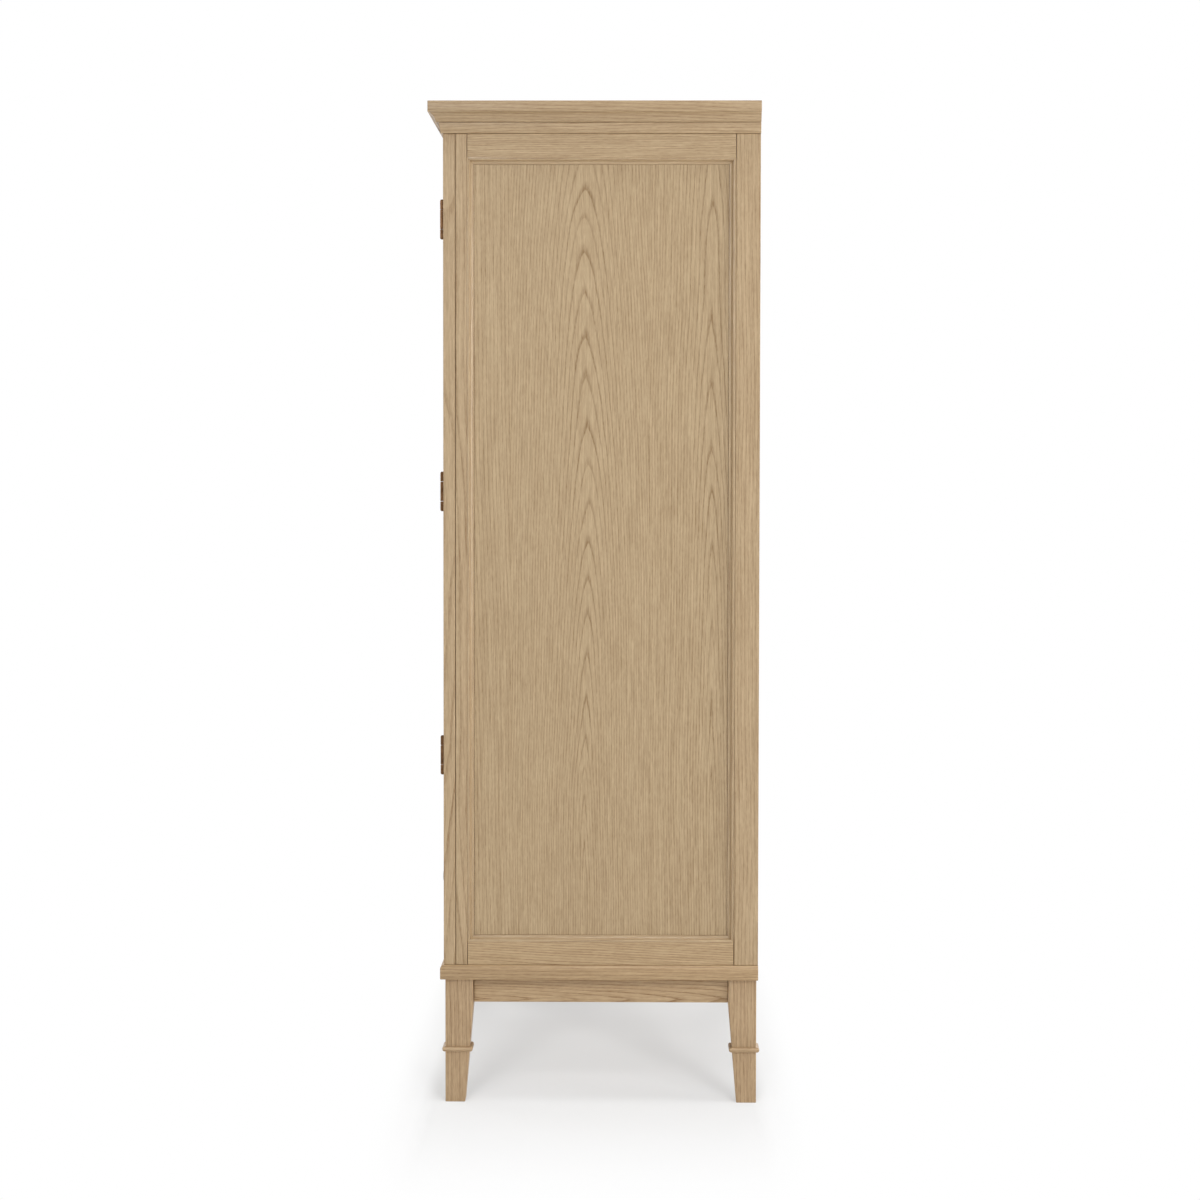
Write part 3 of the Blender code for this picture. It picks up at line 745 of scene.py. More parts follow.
@dataclass(frozen=True)
class OakGrain:
    """How oak shows its grain, in metres, and in shares of the way from its pale to its dark wood.

    The heart's way wanders sideways and swells in and out, and the rings wiggle. Each ring has a dark line of
    early wood, which starts and ends at shares of the year and is broken by flecks. Streaks, fibres, pores
    and clouds lie over them.
    """

    wander: Ripple = Ripple((2.4, 2.4, 1.5), 1.0, 3.0)
    wander_reach: float = 0.030
    swell: Ripple = Ripple((1.6, 1.6, 3.2), 1.0, 11.0)
    swell_reach: float = 0.010
    wiggle: Ripple = Ripple((30.0, 30.0, 10.0), 2.0, 23.0)
    wiggle_reach: float = 0.0020
    heart_width: float = 0.005
    line_start: tuple[float, float] = (0.0, 0.06)
    line_end: tuple[float, float] = (0.08, 0.36)
    line_luck: float = 0.50
    fleck: Ripple = Ripple((560.0, 560.0, 120.0), 1.0, 29.0)
    fleck_in_line: float = 1.4
    line_level: float = 0.9
    streak: Ripple = Ripple((320.0, 320.0, 13.0), 1.0, 37.0)
    streak_aside: Triple = (0.0024, 0.0024, 0.0)
    fibre: Ripple = Ripple((800.0, 800.0, 60.0), 1.0, 51.0)
    cloud: Ripple = Ripple((11.0, 11.0, 2.4), 2.0, 67.0)
    pore: Ripple = Ripple((900.0, 900.0, 80.0), 1.0, 83.0)
    pore_limits: tuple[float, float] = (0.09, 0.22)
    pore_in_line: float = 0.7
    line_weight: float = 0.66
    pore_weight: float = 0.22
    fibre_weight: float = 0.6
    fleck_weight: float = 0.2
    streak_weight: float = 0.48
    cloud_weight: float = 0.09
    end_weight: float = 0.28
    shade: float = 0.34
    # The tint that the eased edges take, darker and more orange than the flat faces.
    eased_edge_tint: Triple = (0.93, 0.88, 0.80)
    shade_in_roughness: float = 0.16
    line_relief: float = -0.5
    pore_relief: float = -1.0
    fibre_relief: float = -0.6

    def build(self) -> bpy.types.NodeTree:
        """Draws the node group that all oak shares.

        Its place is in metres: across the board, through it from the back, and along the fibres.

        Returns:
            The node group.
        """
        group = bpy.data.node_groups.new("oak_grain", "ShaderNodeTree")
        for way, kind, names in (
            ("INPUT", "Vector", ("Place", "Seed")),
            ("INPUT", "Float", ("Heart", "Depth", "Rise", "Ring", "Contrast")),
            ("INPUT", "Color", ("Pale", "Dark")),
            ("INPUT", "Float", ("End", "Eased", "Roughness")),
            ("OUTPUT", "Color", ("Colour",)),
            ("OUTPUT", "Float", ("Roughness", "Height")),
        ):
            for name in names:
                group.interface.new_socket(name=name, in_out=way, socket_type=f"NodeSocket{kind}")
        wiring = Wiring(group)
        given = wiring.add("NodeGroupInput").outputs
        result = wiring.add("NodeGroupOutput").inputs
        place = wiring.vector("ADD", given["Place"], given["Seed"])

        rings = self.draw_rings(wiring, given, place)
        fleck = wiring.noise(place, self.fleck)
        line = self.draw_line(wiring, rings, fleck)
        line = wiring.maths("MULTIPLY", line, given["Contrast"], clamp=True)
        aside = wiring.vector("ADD", place, self.streak_aside)
        streak = wiring.maths("SUBTRACT", *(wiring.noise(at, self.streak) for at in (place, aside)))
        fibre = wiring.noise(place, self.fibre)
        cloud = wiring.noise(place, self.cloud)
        pores = wiring.step(wiring.noise(place, self.pore), *self.pore_limits)
        share = wiring.maths("MULTIPLY_ADD", line, self.pore_in_line, 1.0 - self.pore_in_line)
        pores = wiring.maths("MULTIPLY", pores, share)

        shade = wiring.total(
            (line, self.line_weight),
            (pores, self.pore_weight),
            (fibre, self.fibre_weight),
            (fleck, self.fleck_weight),
            (streak, self.streak_weight),
            (cloud, self.cloud_weight),
        )
        shade = wiring.maths("MULTIPLY_ADD", given["End"], self.end_weight, shade)
        shade = wiring.maths("ADD", shade, self.shade, clamp=True)
        colour = wiring.mix(shade, given["Pale"], given["Dark"])
        # The eased edges are tinted darker and more orange.
        edge_tint = wiring.mix(given["Eased"], (1.0, 1.0, 1.0, 1.0), (*self.eased_edge_tint, 1.0))
        wiring.feed(result["Colour"], wiring.mix(1.0, colour, edge_tint, "MULTIPLY"))
        rough = wiring.maths("MULTIPLY_ADD", shade, self.shade_in_roughness, given["Roughness"])
        wiring.feed(result["Roughness"], rough)
        height = wiring.total(
            (line, self.line_relief), (pores, self.pore_relief), (fibre, self.fibre_relief)
        )
        wiring.feed(result["Height"], height)
        return group

    def draw_rings(self, wiring: Wiring, given: bpy.types.NodeOutputs, place: Socket) -> Socket:
        """Counts the rings between the log's heart and a place.

        Args:
            wiring: The group's wiring.
            given: What the group is given.
            place: The place, shifted by the board's seed.

        Returns:
            The rings, with the part of the last one that is grown.
        """
        across, through, along = wiring.split(given["Place"])
        sideways = wiring.maths("SUBTRACT", across, given["Heart"])
        wander = wiring.noise(place, self.wander)
        sideways = wiring.maths("MULTIPLY_ADD", wander, self.wander_reach, sideways)
        sideways = wiring.maths("ADD", wiring.maths("ABSOLUTE", sideways), self.heart_width)
        deep = wiring.maths("MULTIPLY_ADD", along, given["Rise"], given["Depth"])
        deep = wiring.maths("MULTIPLY_ADD", wiring.noise(place, self.swell), self.swell_reach, deep)
        deep = wiring.maths("ADD", deep, through)
        squares = (wiring.maths("MULTIPLY", reach, reach) for reach in (sideways, deep))
        radius = wiring.maths("SQRT", wiring.maths("ADD", *squares))
        radius = wiring.maths("MULTIPLY_ADD", wiring.noise(place, self.wiggle), self.wiggle_reach, radius)
        return wiring.maths("DIVIDE", radius, given["Ring"])

    def draw_line(self, wiring: Wiring, rings: Socket, fleck: Socket) -> Socket:
        """Draws the dark line of each year's early wood, stronger in some years than in others.

        Args:
            wiring: The group's wiring.
            rings: How many rings lie between the log's heart and the place.
            fleck: The flecks that break the line.

        Returns:
            How dark the line is.
        """
        season = wiring.maths("FRACT", rings)
        luck = wiring.add("ShaderNodeTexWhiteNoise", noise_dimensions="1D")
        wiring.feed(luck.inputs["W"], wiring.maths("FLOOR", rings))
        strength = wiring.maths("MULTIPLY_ADD", luck.outputs["Value"], self.line_luck, 1.0 - self.line_luck)
        early = wiring.maths(
            "MULTIPLY",
            wiring.step(season, *self.line_start),
            wiring.step(season, *self.line_end, 1.0, 0.0),
        )
        line = wiring.maths("MULTIPLY", early, strength)
        broken = wiring.maths("MULTIPLY_ADD", fleck, self.fleck_in_line, self.line_level)
        return wiring.maths("MULTIPLY", line, broken)


class Timber:
    """Gives each board an oak of its own. The grain is drawn in the solid, so all faces of a board agree."""

    SEED = 41
    # The limits of a figure's heart, depth, rise and ring.
    CROWN = ((-0.02, 0.02), (0.025, 0.045), (0.04, 0.07), (0.0046, 0.0058))
    RIFT = ((0.10, 0.26), (0.03, 0.09), (-0.05, 0.05), (0.0048, 0.0070))
    RIFT_CONTRAST = 0.7
    # How far boards are set apart in the grain's noise.
    APART = (5.0, 60.0)
    # End grain starts and is full where a face looks this far along the fibres.
    END_LIMITS = (0.7, 0.95)
    BUMP = 0.35
    BUMP_DEPTH = 0.0004

    def __init__(self) -> None:
        """Draws the shared grain, and starts the row of boards at a fixed seed."""
        self.chance = random.Random(self.SEED)
        self.group = OakGrain().build()

    def figure(self, cut: Cut) -> Figure:
        """Draws the figure of the next board.

        Args:
            cut: How the board was sawn.

        Returns:
            The figure.
        """
        draw = self.chance.uniform
        if cut is Cut.CROWN:
            return Figure(*(draw(*limits) for limits in self.CROWN))
        heart = draw(*self.RIFT[0]) * self.chance.choice((-1, 1))
        return Figure(heart, *(draw(*limits) for limits in self.RIFT[1:]), self.RIFT_CONTRAST)

    def material(self, name: str, wood: Wood) -> bpy.types.Material:
        """Makes the oak of one board.

        Args:
            name: The board's name, which its material takes too.
            wood: The board's place, cut and finish.

        Returns:
            The material.
        """
        oak = wood.oak
        figure = self.figure(wood.cut) if isinstance(wood.cut, Cut) else wood.cut
        made, wiring = open_material(name)
        size = wood.block.size()
        others = [axis for axis in range(3) if axis != wood.grain.value]
        through = min(others, key=lambda axis: size[axis]) if wood.face is None else wood.face
        across = next(axis for axis in others if axis != through)
        order = (across, through, wood.grain.value)

        coordinates = wiring.add("ShaderNodeTexCoord").outputs
        local = wiring.vector("SUBTRACT", coordinates["Object"], wood.block.centre())
        place = wiring.add("ShaderNodeCombineXYZ")
        parts = wiring.split(local)
        for socket, axis in zip(place.inputs, order):
            wiring.feed(socket, parts[axis])
        along = wiring.split(coordinates["Normal"])[wood.grain.value]
        end = wiring.step(wiring.maths("ABSOLUTE", along), *self.END_LIMITS)
        eased = wiring.add("ShaderNodeAttribute", attribute_name="eased")

        grain = wiring.add("ShaderNodeGroup", node_tree=self.group)
        for socket, value in {
            "Place": place.outputs[0],
            "Seed": tuple(self.chance.uniform(*self.APART) for _ in range(3)),
            "Heart": figure.heart,
            "Depth": figure.depth,
            "Rise": figure.rise,
            "Ring": figure.ring,
            "Contrast": figure.contrast,
            "Pale": (*oak.pale, 1.0),
            "Dark": (*oak.dark, 1.0),
            "End": end,
            "Eased": eased.outputs["Fac"],
            "Roughness": oak.roughness,
        }.items():
            wiring.feed(grain.inputs[socket], value)
        colour, roughness, height = grain.outputs
        wiring.surface(colour, roughness, height, self.BUMP, self.BUMP_DEPTH)
        return made

    def dress(self, piece: Piece, wood: Wood) -> None:
        """Gives a piece its own oak.

        Args:
            piece: The piece.
            wood: Its wood.
        """
        piece.data.materials.clear()
        piece.data.materials.append(self.material(piece.name, wood))


@dataclass(frozen=True)
class Bronze:
    """Dark aged bronze, rubbed brighter where it stands out."""

    slot: str = "aged_bronze"
    dark: Triple = (0.070, 0.034, 0.016)
    rubbed: Triple = (0.24, 0.13, 0.065)
    roughness: float = 0.36
    cloud: Ripple = Ripple((90.0, 90.0, 90.0), 3.0, 5.0)
    cloud_weight: float = 1.6
    cloud_in_roughness: float = 0.3
    scratch: Ripple = Ripple((1400.0, 1400.0, 160.0), 2.0, 9.0)
    scratch_weight: float = 0.7
    rubbed_share: float = 0.40
    eased_weight: float = 0.35
    bump: float = 0.15
    bump_depth: float = 0.0002

    def material(self) -> bpy.types.Material:
        """Makes the finish, the same for all its pieces.

        Returns:
            The material.
        """
        made, wiring = open_material(self.slot)
        place = wiring.add("ShaderNodeTexCoord").outputs["Object"]
        cloud = wiring.noise(place, self.cloud)
        scratch = wiring.noise(place, self.scratch)
        share = wiring.total((cloud, self.cloud_weight), (scratch, self.scratch_weight))
        share = wiring.maths("ADD", share, self.rubbed_share, clamp=True)
        eased = wiring.add("ShaderNodeAttribute", attribute_name="eased").outputs["Fac"]
        share = wiring.maths("MULTIPLY_ADD", eased, self.eased_weight, share, clamp=True)
        colour = wiring.mix(share, (*self.dark, 1.0), (*self.rubbed, 1.0))
        rough = wiring.maths("MULTIPLY_ADD", cloud, self.cloud_in_roughness, self.roughness)
        wiring.surface(colour, rough, scratch, self.bump, self.bump_depth)
        made.node_tree.nodes["Principled BSDF"].inputs["Metallic"].default_value = 1.0
        return made


OAK_CASE = Oak("oak_case", (0.577, 0.429, 0.257), (0.260, 0.151, 0.063))
OAK_PANEL = Oak("oak_panel", (0.568, 0.426, 0.254), (0.255, 0.153, 0.063))
OAK_BEAD = Oak("oak_case", (0.579, 0.433, 0.262), (0.260, 0.151, 0.066), 0.20)
OAK_DOOR = Oak("oak_door", (0.577, 0.429, 0.257), (0.260, 0.151, 0.063))
# Painted shade: the top's oak is made darker than the case's to cancel the light that its fascia gets.
OAK_TOP_PAINTED_SHADE = Oak("oak_top", (0.530, 0.391, 0.234), (0.244, 0.141, 0.058))
# Painted light: the board under the top is made paler than the top's oak, to make up for its shade under the
# cornice.
OAK_BOARD_PAINTED_LIGHT = Oak("oak_top", (0.562, 0.416, 0.252), (0.257, 0.150, 0.063))
# Painted light: the sides' bottom rails are made paler than the case's oak, to make up for their shade low
# down.
OAK_LOW_RAIL_PAINTED_LIGHT = Oak("oak_case", (0.597, 0.436, 0.252), (0.264, 0.149, 0.060))
OAK_STAND = Oak("oak_stand", (0.575, 0.412, 0.243), (0.240, 0.130, 0.050))
# Painted shade: the base board is made darker than the legs' oak, to cancel the light that falls on it.
OAK_BASE_PAINTED_SHADE = Oak("oak_stand", (0.550, 0.387, 0.214), (0.230, 0.122, 0.045))
# Painted light: the aprons are made paler than the legs' oak, to make up for their shade under the base
# board.
OAK_APRON_PAINTED_LIGHT = Oak("oak_stand", (0.597, 0.430, 0.249), (0.257, 0.141, 0.054))
OAK_INSIDE = Oak("oak_inside", (0.622, 0.477, 0.307), (0.309, 0.195, 0.095), 0.46)


@dataclass(frozen=True)
class Fitted:
    """A finished piece, what carries it, the solid that it stands for, and its wood unless it is metal."""

    piece: Piece
    body: str
    node: str
    wood: Wood | None


class Maker:
    """What every sub-assembly shares: its timber, its metal and the row of finished pieces."""

    def __init__(self, timber: Timber, metal: bpy.types.Material) -> None:
        """Keeps what pieces are dressed with.

        Args:
            timber: The timber.
            metal: The metal.
        """
        self.timber = timber
        self.metal = metal
        self.row: list[Fitted] = []

    def fit(self, piece: Piece, body: str, node: str, wood: Wood | None = None) -> None:
        """Dresses a finished piece and lets it ride on its body, in the place of its solid.

        Args:
            piece: The piece, shaped and in its place.
            body: The body that it rides on.
            node: The solid that it stands for.
            wood: Its wood, or none where it is metal.
        """
        if wood:
            self.timber.dress(piece, wood)
        else:
            piece.data.materials.clear()
            piece.data.materials.append(self.metal)
        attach(piece, body)
        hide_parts(node)
        self.row.append(Fitted(piece, body, node, wood))
        LOG.info("%s rides on %s", piece.name, body)

    def mirror(self, since: int) -> None:
        """Copies the right half's pieces to the left half, each with its own grain.

        Args:
            since: Where in the row of finished pieces they start.
        """
        for one in self.row[since:]:
            names = (one.piece.name, one.body, one.node)
            name, body, node = (word.replace("right", "left") for word in names)
            copy = Bench.copy(one.piece, name, flip=(-1, 1))
            wood = one.wood and replace(one.wood, block=one.wood.block.mirrored())
            self.fit(copy, body, node, wood)

    def board(
        self,
        node: str,
        block: Block,
        grain: Grain,
        oak: Oak,
        body: str = "case",
        cut: Cut | Figure = Cut.RIFT,
        eased: float = 0.0008,
        name: str = "",
    ) -> None:
        """Makes a straight board with eased edges.

        Args:
            node: The solid that it stands for.
            block: The space that it fills.
            grain: Which way its fibres run.
            oak: Its finish.
            body: The body that it rides on.
            cut: How it was sawn, or its own figure.
            eased: How wide its edges are taken off.
            name: Its name, where the solid's doesn't do.
        """
        piece = Bench.block(name or f"{node}_oak", block.narrowed(JOINT_LINE))
        Bench.ease(piece, eased)
        self.fit(piece, body, node, Wood(block, grain, oak, cut))


@dataclass(frozen=True)
class Plan:
    """The outline of the cabinet's body, seen from above."""

    half_width: float
    front: float
    back: float

    @staticmethod
    def of_nodes() -> "Plan":
        """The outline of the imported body."""
        post = Block.of_node("side_rear_post_right")
        return Plan(post.high[X], Block.of_node("face_stile_right").low[Y], post.high[Y])

    def turned(self, block: Block) -> Block:
        """A block's mirror image on the other end of the same side."""
        both = self.front + self.back
        return block.between(Y, both - block.high[Y], both - block.low[Y])


@dataclass
class Bead:
    """The moulding round a recessed panel: a fillet by the frame, a hollow slope, and a lip by the panel.

    The hollow's corners are each a way inwards from the fillet and a share of the fillet's height.
    """

    oak: Oak = OAK_BEAD
    fillet: float = 0.0050
    below_frame: float = 0.0008
    hollow: Profile = (
        (0.0004, 0.860), (0.0008, 0.725), (0.0013, 0.595), (0.0019, 0.475), (0.0026, 0.372),
        (0.0034, 0.292), (0.0043, 0.236), (0.0053, 0.206), (0.0063, 0.200),
    )
    lip: float = 0.0077
    depth: float = 0.0076
    eased: float = 0.0004
    eased_steps: int = 2

    @property
    def width(self) -> float:
        """How far the bead reaches from the frame."""
        return self.fillet + self.lip

    def outline(self, start: Vector, inward: Vector, outward: Vector, recess: float) -> list[Vector]:
        """Draws the section.

        Args:
            start: The panel's corner against the frame.
            inward: The way from the frame over the panel.
            outward: The way that the panel faces.
            recess: How far the panel lies behind the frame's face.

        Returns:
            The section's corners, in order.
        """
        height = recess - self.below_frame
        corners = [(0.0, -self.depth), (0.0, height), (self.fillet, height)]
        corners += [(self.fillet + reach, height * share) for reach, share in self.hollow]
        corners += [(self.width, height * self.hollow[-1][1]), (self.width, -self.depth)]
        return [start + inward * reach + outward * level for reach, level in corners]

    def build(
        self, maker: Maker, name: str, opening: Block, face: float, outward: Vector, body: str, node: str
    ) -> None:
        """Lays four mitred lengths round an opening.

        Args:
            maker: The maker that finishes the pieces.
            name: The start of the pieces' names.
            opening: The clear space inside the frame, as deep as the panel is recessed.
            face: The panel's face, along the way that it faces.
            outward: The way that the panel faces.
            body: The body that the pieces ride on.
            node: The solid that they stand for.
        """
        axis, flat = (X, Y) if outward.x else (Y, X)
        sideways = Vector((flat == X, flat == Y, 0))
        upright = Vector((0, 0, 1))
        low = Vector(opening.low)
        high = Vector(opening.high)
        recess = high[axis] - low[axis]
        low[axis] = high[axis] = face
        width = sideways * (high[flat] - low[flat])
        height = upright * (high.z - low.z)
        lengths = {
            "bottom": (low, width, upright, Grain(flat)),
            "top": (low + height, width, -upright, Grain(flat)),
            "front": (low, height, sideways, Grain.UPRIGHT),
            "rear": (low + width, height, -sideways, Grain.UPRIGHT),
        }
        for place, (start, run, inward, grain) in lengths.items():
            piece = Bench.moulding(f"{name}_{place}", self.outline(start, inward, outward, recess), run)
            along = run.normalized()
            Bench.slice_off(piece, start, inward - along)
            Bench.slice_off(piece, start + run, inward + along)
            Bench.ease(piece, self.eased, self.eased_steps)
            Bench.smooth(SMOOTH_MOULDING)
            ways = list(zip(start, start + run, start + inward * self.width))
            block = Block(tuple(map(min, ways)), tuple(map(max, ways)))
            maker.fit(piece, body, node, Wood(block, grain, self.oak, face=axis))


@dataclass
class EdgedBoard:
    """A level board whose front and sides are mitred lengths with one profile, flush behind.

    The profile's corners are each an overhang and a level, from the lowest to the highest.
    """

    node: str
    plan: Plan
    profile: Profile
    oak: Oak
    eased: float = 0.0007
    core_eased: float = 0.0005

    def outline(self, corner: Vector, outward: Vector) -> list[Vector]:
        """Draws the section of a length.

        Args:
            corner: A point of the body's outline, at level 0.
            outward: The way that the length faces.

        Returns:
            The section's corners, in order.
        """
        points = [corner + outward * reach + Vector((0, 0, level)) for reach, level in self.profile]
        inner = corner - outward * EDGE_STRIP
        return points + [inner + Vector((0, 0, self.profile[end][1])) for end in (-1, 0)]

    def build(self, maker: Maker) -> None:
        """Makes the core, the front length and the two side lengths.

        Args:
            maker: The maker that finishes the pieces.
        """
        wide, front, back = self.plan.half_width, self.plan.front, self.plan.back
        reach = max(overhang for overhang, _ in self.profile)
        low = self.profile[0][1]
        high = self.profile[-1][1]
        core = Block((EDGE_STRIP - wide, front + EDGE_STRIP, low), (wide - EDGE_STRIP, back, high))
        maker.board(
            self.node, core, Grain.ACROSS, self.oak,
            cut=Cut.CROWN, eased=self.core_eased, name=f"{self.node}_core",
        )

        corner = Vector((-wide - reach, front, 0))
        run = Vector((2 * (wide + reach), 0, 0))
        piece = Bench.moulding(f"{self.node}_front", self.outline(corner, Vector((0, -1, 0))), run)
        for sign in (-1, 1):
            Bench.slice_off(piece, Vector((sign * wide, front, 0)), Vector((sign, 1, 0)))
        block = Block((-wide, front - reach, low), (wide, front + EDGE_STRIP, high))
        self.finish(maker, piece, Wood(block, Grain.ACROSS, self.oak, face=Y))

        mark = len(maker.row)
        corner = Vector((wide, front - reach, 0))
        run = Vector((0, back - front + reach, 0))
        piece = Bench.moulding(f"{self.node}_right", self.outline(corner, Vector((1, 0, 0))), run)
        Bench.slice_off(piece, Vector((wide, front, 0)), Vector((-1, -1, 0)))
        block = Block((wide - EDGE_STRIP, front, low), (wide + reach, back, high))
        self.finish(maker, piece, Wood(block, Grain.DEEP, self.oak, face=X))
        maker.mirror(mark)

    def finish(self, maker: Maker, piece: Piece, wood: Wood) -> None:
        """Eases a length's edges, smooths its hollow and fits it.

        Args:
            maker: The maker that finishes the pieces.
            piece: The length.
            wood: Its wood.
        """
        Bench.ease(piece, self.eased)
        Bench.smooth(SMOOTH_MOULDING)
        maker.fit(piece, "case", self.node, wood)


@dataclass
class Top:
    """The moulded top and the board under it."""

    board_height: float = 0.0202
    board_overhang: float = 0.0075
    board_lower_overhang: float = 0.0037
    cove_height: float = 0.0170
    fascia_height: float = 0.021
    overhang: float = 0.027
    cove_top: float = 0.0235
    cove_bottom: float = 0.012
    cove_steps: int = 8

    def build(self, maker: Maker) -> None:
        """Makes both boards. The cove is half a quarter circle and half a straight slope.

        Args:
            maker: The maker that finishes the pieces.
        """
        plan = Plan.of_nodes()
        bottom = Block.of_node("carcass_top").low[Z]
        board_top = bottom + self.board_height
        board = ((self.board_lower_overhang, bottom), (self.board_overhang, board_top))
        EdgedBoard("carcass_top", plan, board, OAK_BOARD_PAINTED_LIGHT).build(maker)
        cove_low = board_top + FIT
        cove_high = cove_low + self.cove_height
        profile = []
        for step in range(self.cove_steps + 1):
            share = step / self.cove_steps
            turn = math.radians(90) * step / self.cove_steps
            out = (1 - math.cos(turn) + share) / 2
            up = (math.sin(turn) + share) / 2
            reach = self.cove_bottom + (self.cove_top - self.cove_bottom) * out
            profile.append((reach, cove_low + self.cove_height * up))
        profile += [(self.overhang, cove_high + FIT), (self.overhang, cove_high + self.fascia_height)]
        EdgedBoard("cornice", plan, tuple(profile), OAK_TOP_PAINTED_SHADE).build(maker)


@dataclass
class Panel:
    """A flat panel of upright leaves, glued edge to edge."""

    node: str
    block: Block
    oak: Oak
    body: str = "case"
    margin: float = 0.0
    eased: float = 0.0002
    eased_steps: int = 2

    def build(self, maker: Maker, joints: tuple[float, ...], figures: tuple[Cut | Figure, ...]) -> None:
        """Makes the leaves.

        Args:
            maker: The maker that finishes the pieces.
            joints: Where one leaf ends and the next starts, along the panel's width.
            figures: How each leaf was sawn, or its own figure.
        """
        size = self.block.size()
        flat = X if size[X] > size[Y] else Y
        low, high = self.block.low, self.block.high
        whole = self.block.between(Z, low[Z] + self.margin, high[Z] - self.margin)
        ends = (low[flat] + self.margin, *joints, high[flat] - self.margin)
        for number, (start, end, figure) in enumerate(zip(ends, ends[1:], figures), start=1):
            part = whole.between(flat, start, end)
            piece = Bench.block(f"{self.node}_leaf_{number}", part)
            Bench.ease(piece, self.eased, self.eased_steps)
            maker.fit(piece, self.body, self.node, Wood(part, Grain.UPRIGHT, self.oak, figure))


@dataclass
class CaseSides:
    """The sides of the case: each two posts, two rails, a panel of three leaves and its bead."""

    recess: float = 0.010
    panel_thickness: float = 0.008
    rail_eased: float = 0.0005
    joints: tuple[float, float] = (-0.160, 0.102)
    top_rail: Figure = Figure(0.10, 0.05, 0.03, 0.0035, 0.7)
    bottom_rail: Figure = Figure(0.02, 0.03, 0.05, 0.0046, 0.9)
    leaves: tuple[Figure, ...] = (
        Figure(-0.130, 0.07, 0.04, 0.0062, 0.8),
        Figure(0.0113, 0.040, 0.064, 0.0046, 0.85),
        Figure(0.045, 0.022, 0.040, 0.0050, 0.9),
    )

    def build(self, maker: Maker) -> None:
        """Makes the right side and copies it to the left.

        Args:
            maker: The maker that finishes the pieces.
        """
        mark = len(maker.row)
        front_post = Block.of_node("side_front_post_right")
        rear_post = Block.of_node("side_rear_post_right")
        maker.board("side_front_post_right", front_post, Grain.UPRIGHT, OAK_CASE)
        maker.board("side_rear_post_right", rear_post, Grain.UPRIGHT, OAK_CASE)
        outer = front_post.high[X]
        start = front_post.high[Y] + FIT
        end = rear_post.low[Y] - FIT
        rails = []
        for node, oak, figure in (
            ("side_top_rail_right", OAK_CASE, self.top_rail),
            ("side_bottom_rail_right", OAK_LOW_RAIL_PAINTED_LIGHT, self.bottom_rail),
        ):
            rail = Block.of_node(node).between(Y, start, end)
            maker.board(node, rail, Grain.DEEP, oak, cut=figure, eased=self.rail_eased)
            rails.append(rail)
        high = rails[0].low[Z]
        low = rails[1].high[Z]
        face = outer - self.recess
        bead = Bead()
        block = Block((face - self.panel_thickness, start, low), (face, end, high))
        panel = Panel("side_panel_right", block, OAK_PANEL, margin=bead.width + PANEL_GROOVE)
        panel.build(maker, self.joints, self.leaves)
        opening = Block((face, start - FIT, low), (outer, end + FIT, high))
        bead.build(maker, "side_bead_right", opening, face, Vector((1, 0, 0)), "case", panel.node)
        maker.mirror(mark)


@dataclass
class FaceFrame:
    """Two stiles and two rails in front of the case."""

    eased: float = 0.0008

    def build(self, maker: Maker) -> None:
        """Makes the four pieces.

        Args:
            maker: The maker that finishes the pieces.
        """
        mark = len(maker.row)
        stile = Block.of_node("face_stile_right")
        maker.board("face_stile_right", stile, Grain.UPRIGHT, OAK_CASE, eased=self.eased)
        maker.mirror(mark)
        reach = stile.low[X] - FIT
        for node in ("face_top_rail", "face_middle_rail"):
            rail = Block.of_node(node).between(X, -reach, reach)
            maker.board(node, rail, Grain.ACROSS, OAK_CASE, eased=self.eased)


@dataclass
class Inside:
    """The back, the middle floor and the shelves."""

    back_leaves: int = 4

    def build(self, maker: Maker) -> None:
        """Makes the boards inside the case.

        Args:
            maker: The maker that finishes the pieces.
        """
        for node in ("middle_floor", "shelf_1", "shelf_2"):
            maker.board(node, Block.of_node(node), Grain.ACROSS, OAK_INSIDE, cut=Cut.CROWN)
        block = Block.of_node("back_panel")
        width = block.size()[X] / self.back_leaves
        joints = tuple(block.low[X] + number * width for number in range(1, self.back_leaves))
        Panel("back_panel", block, OAK_INSIDE).build(maker, joints, (Cut.CROWN,) * self.back_leaves)


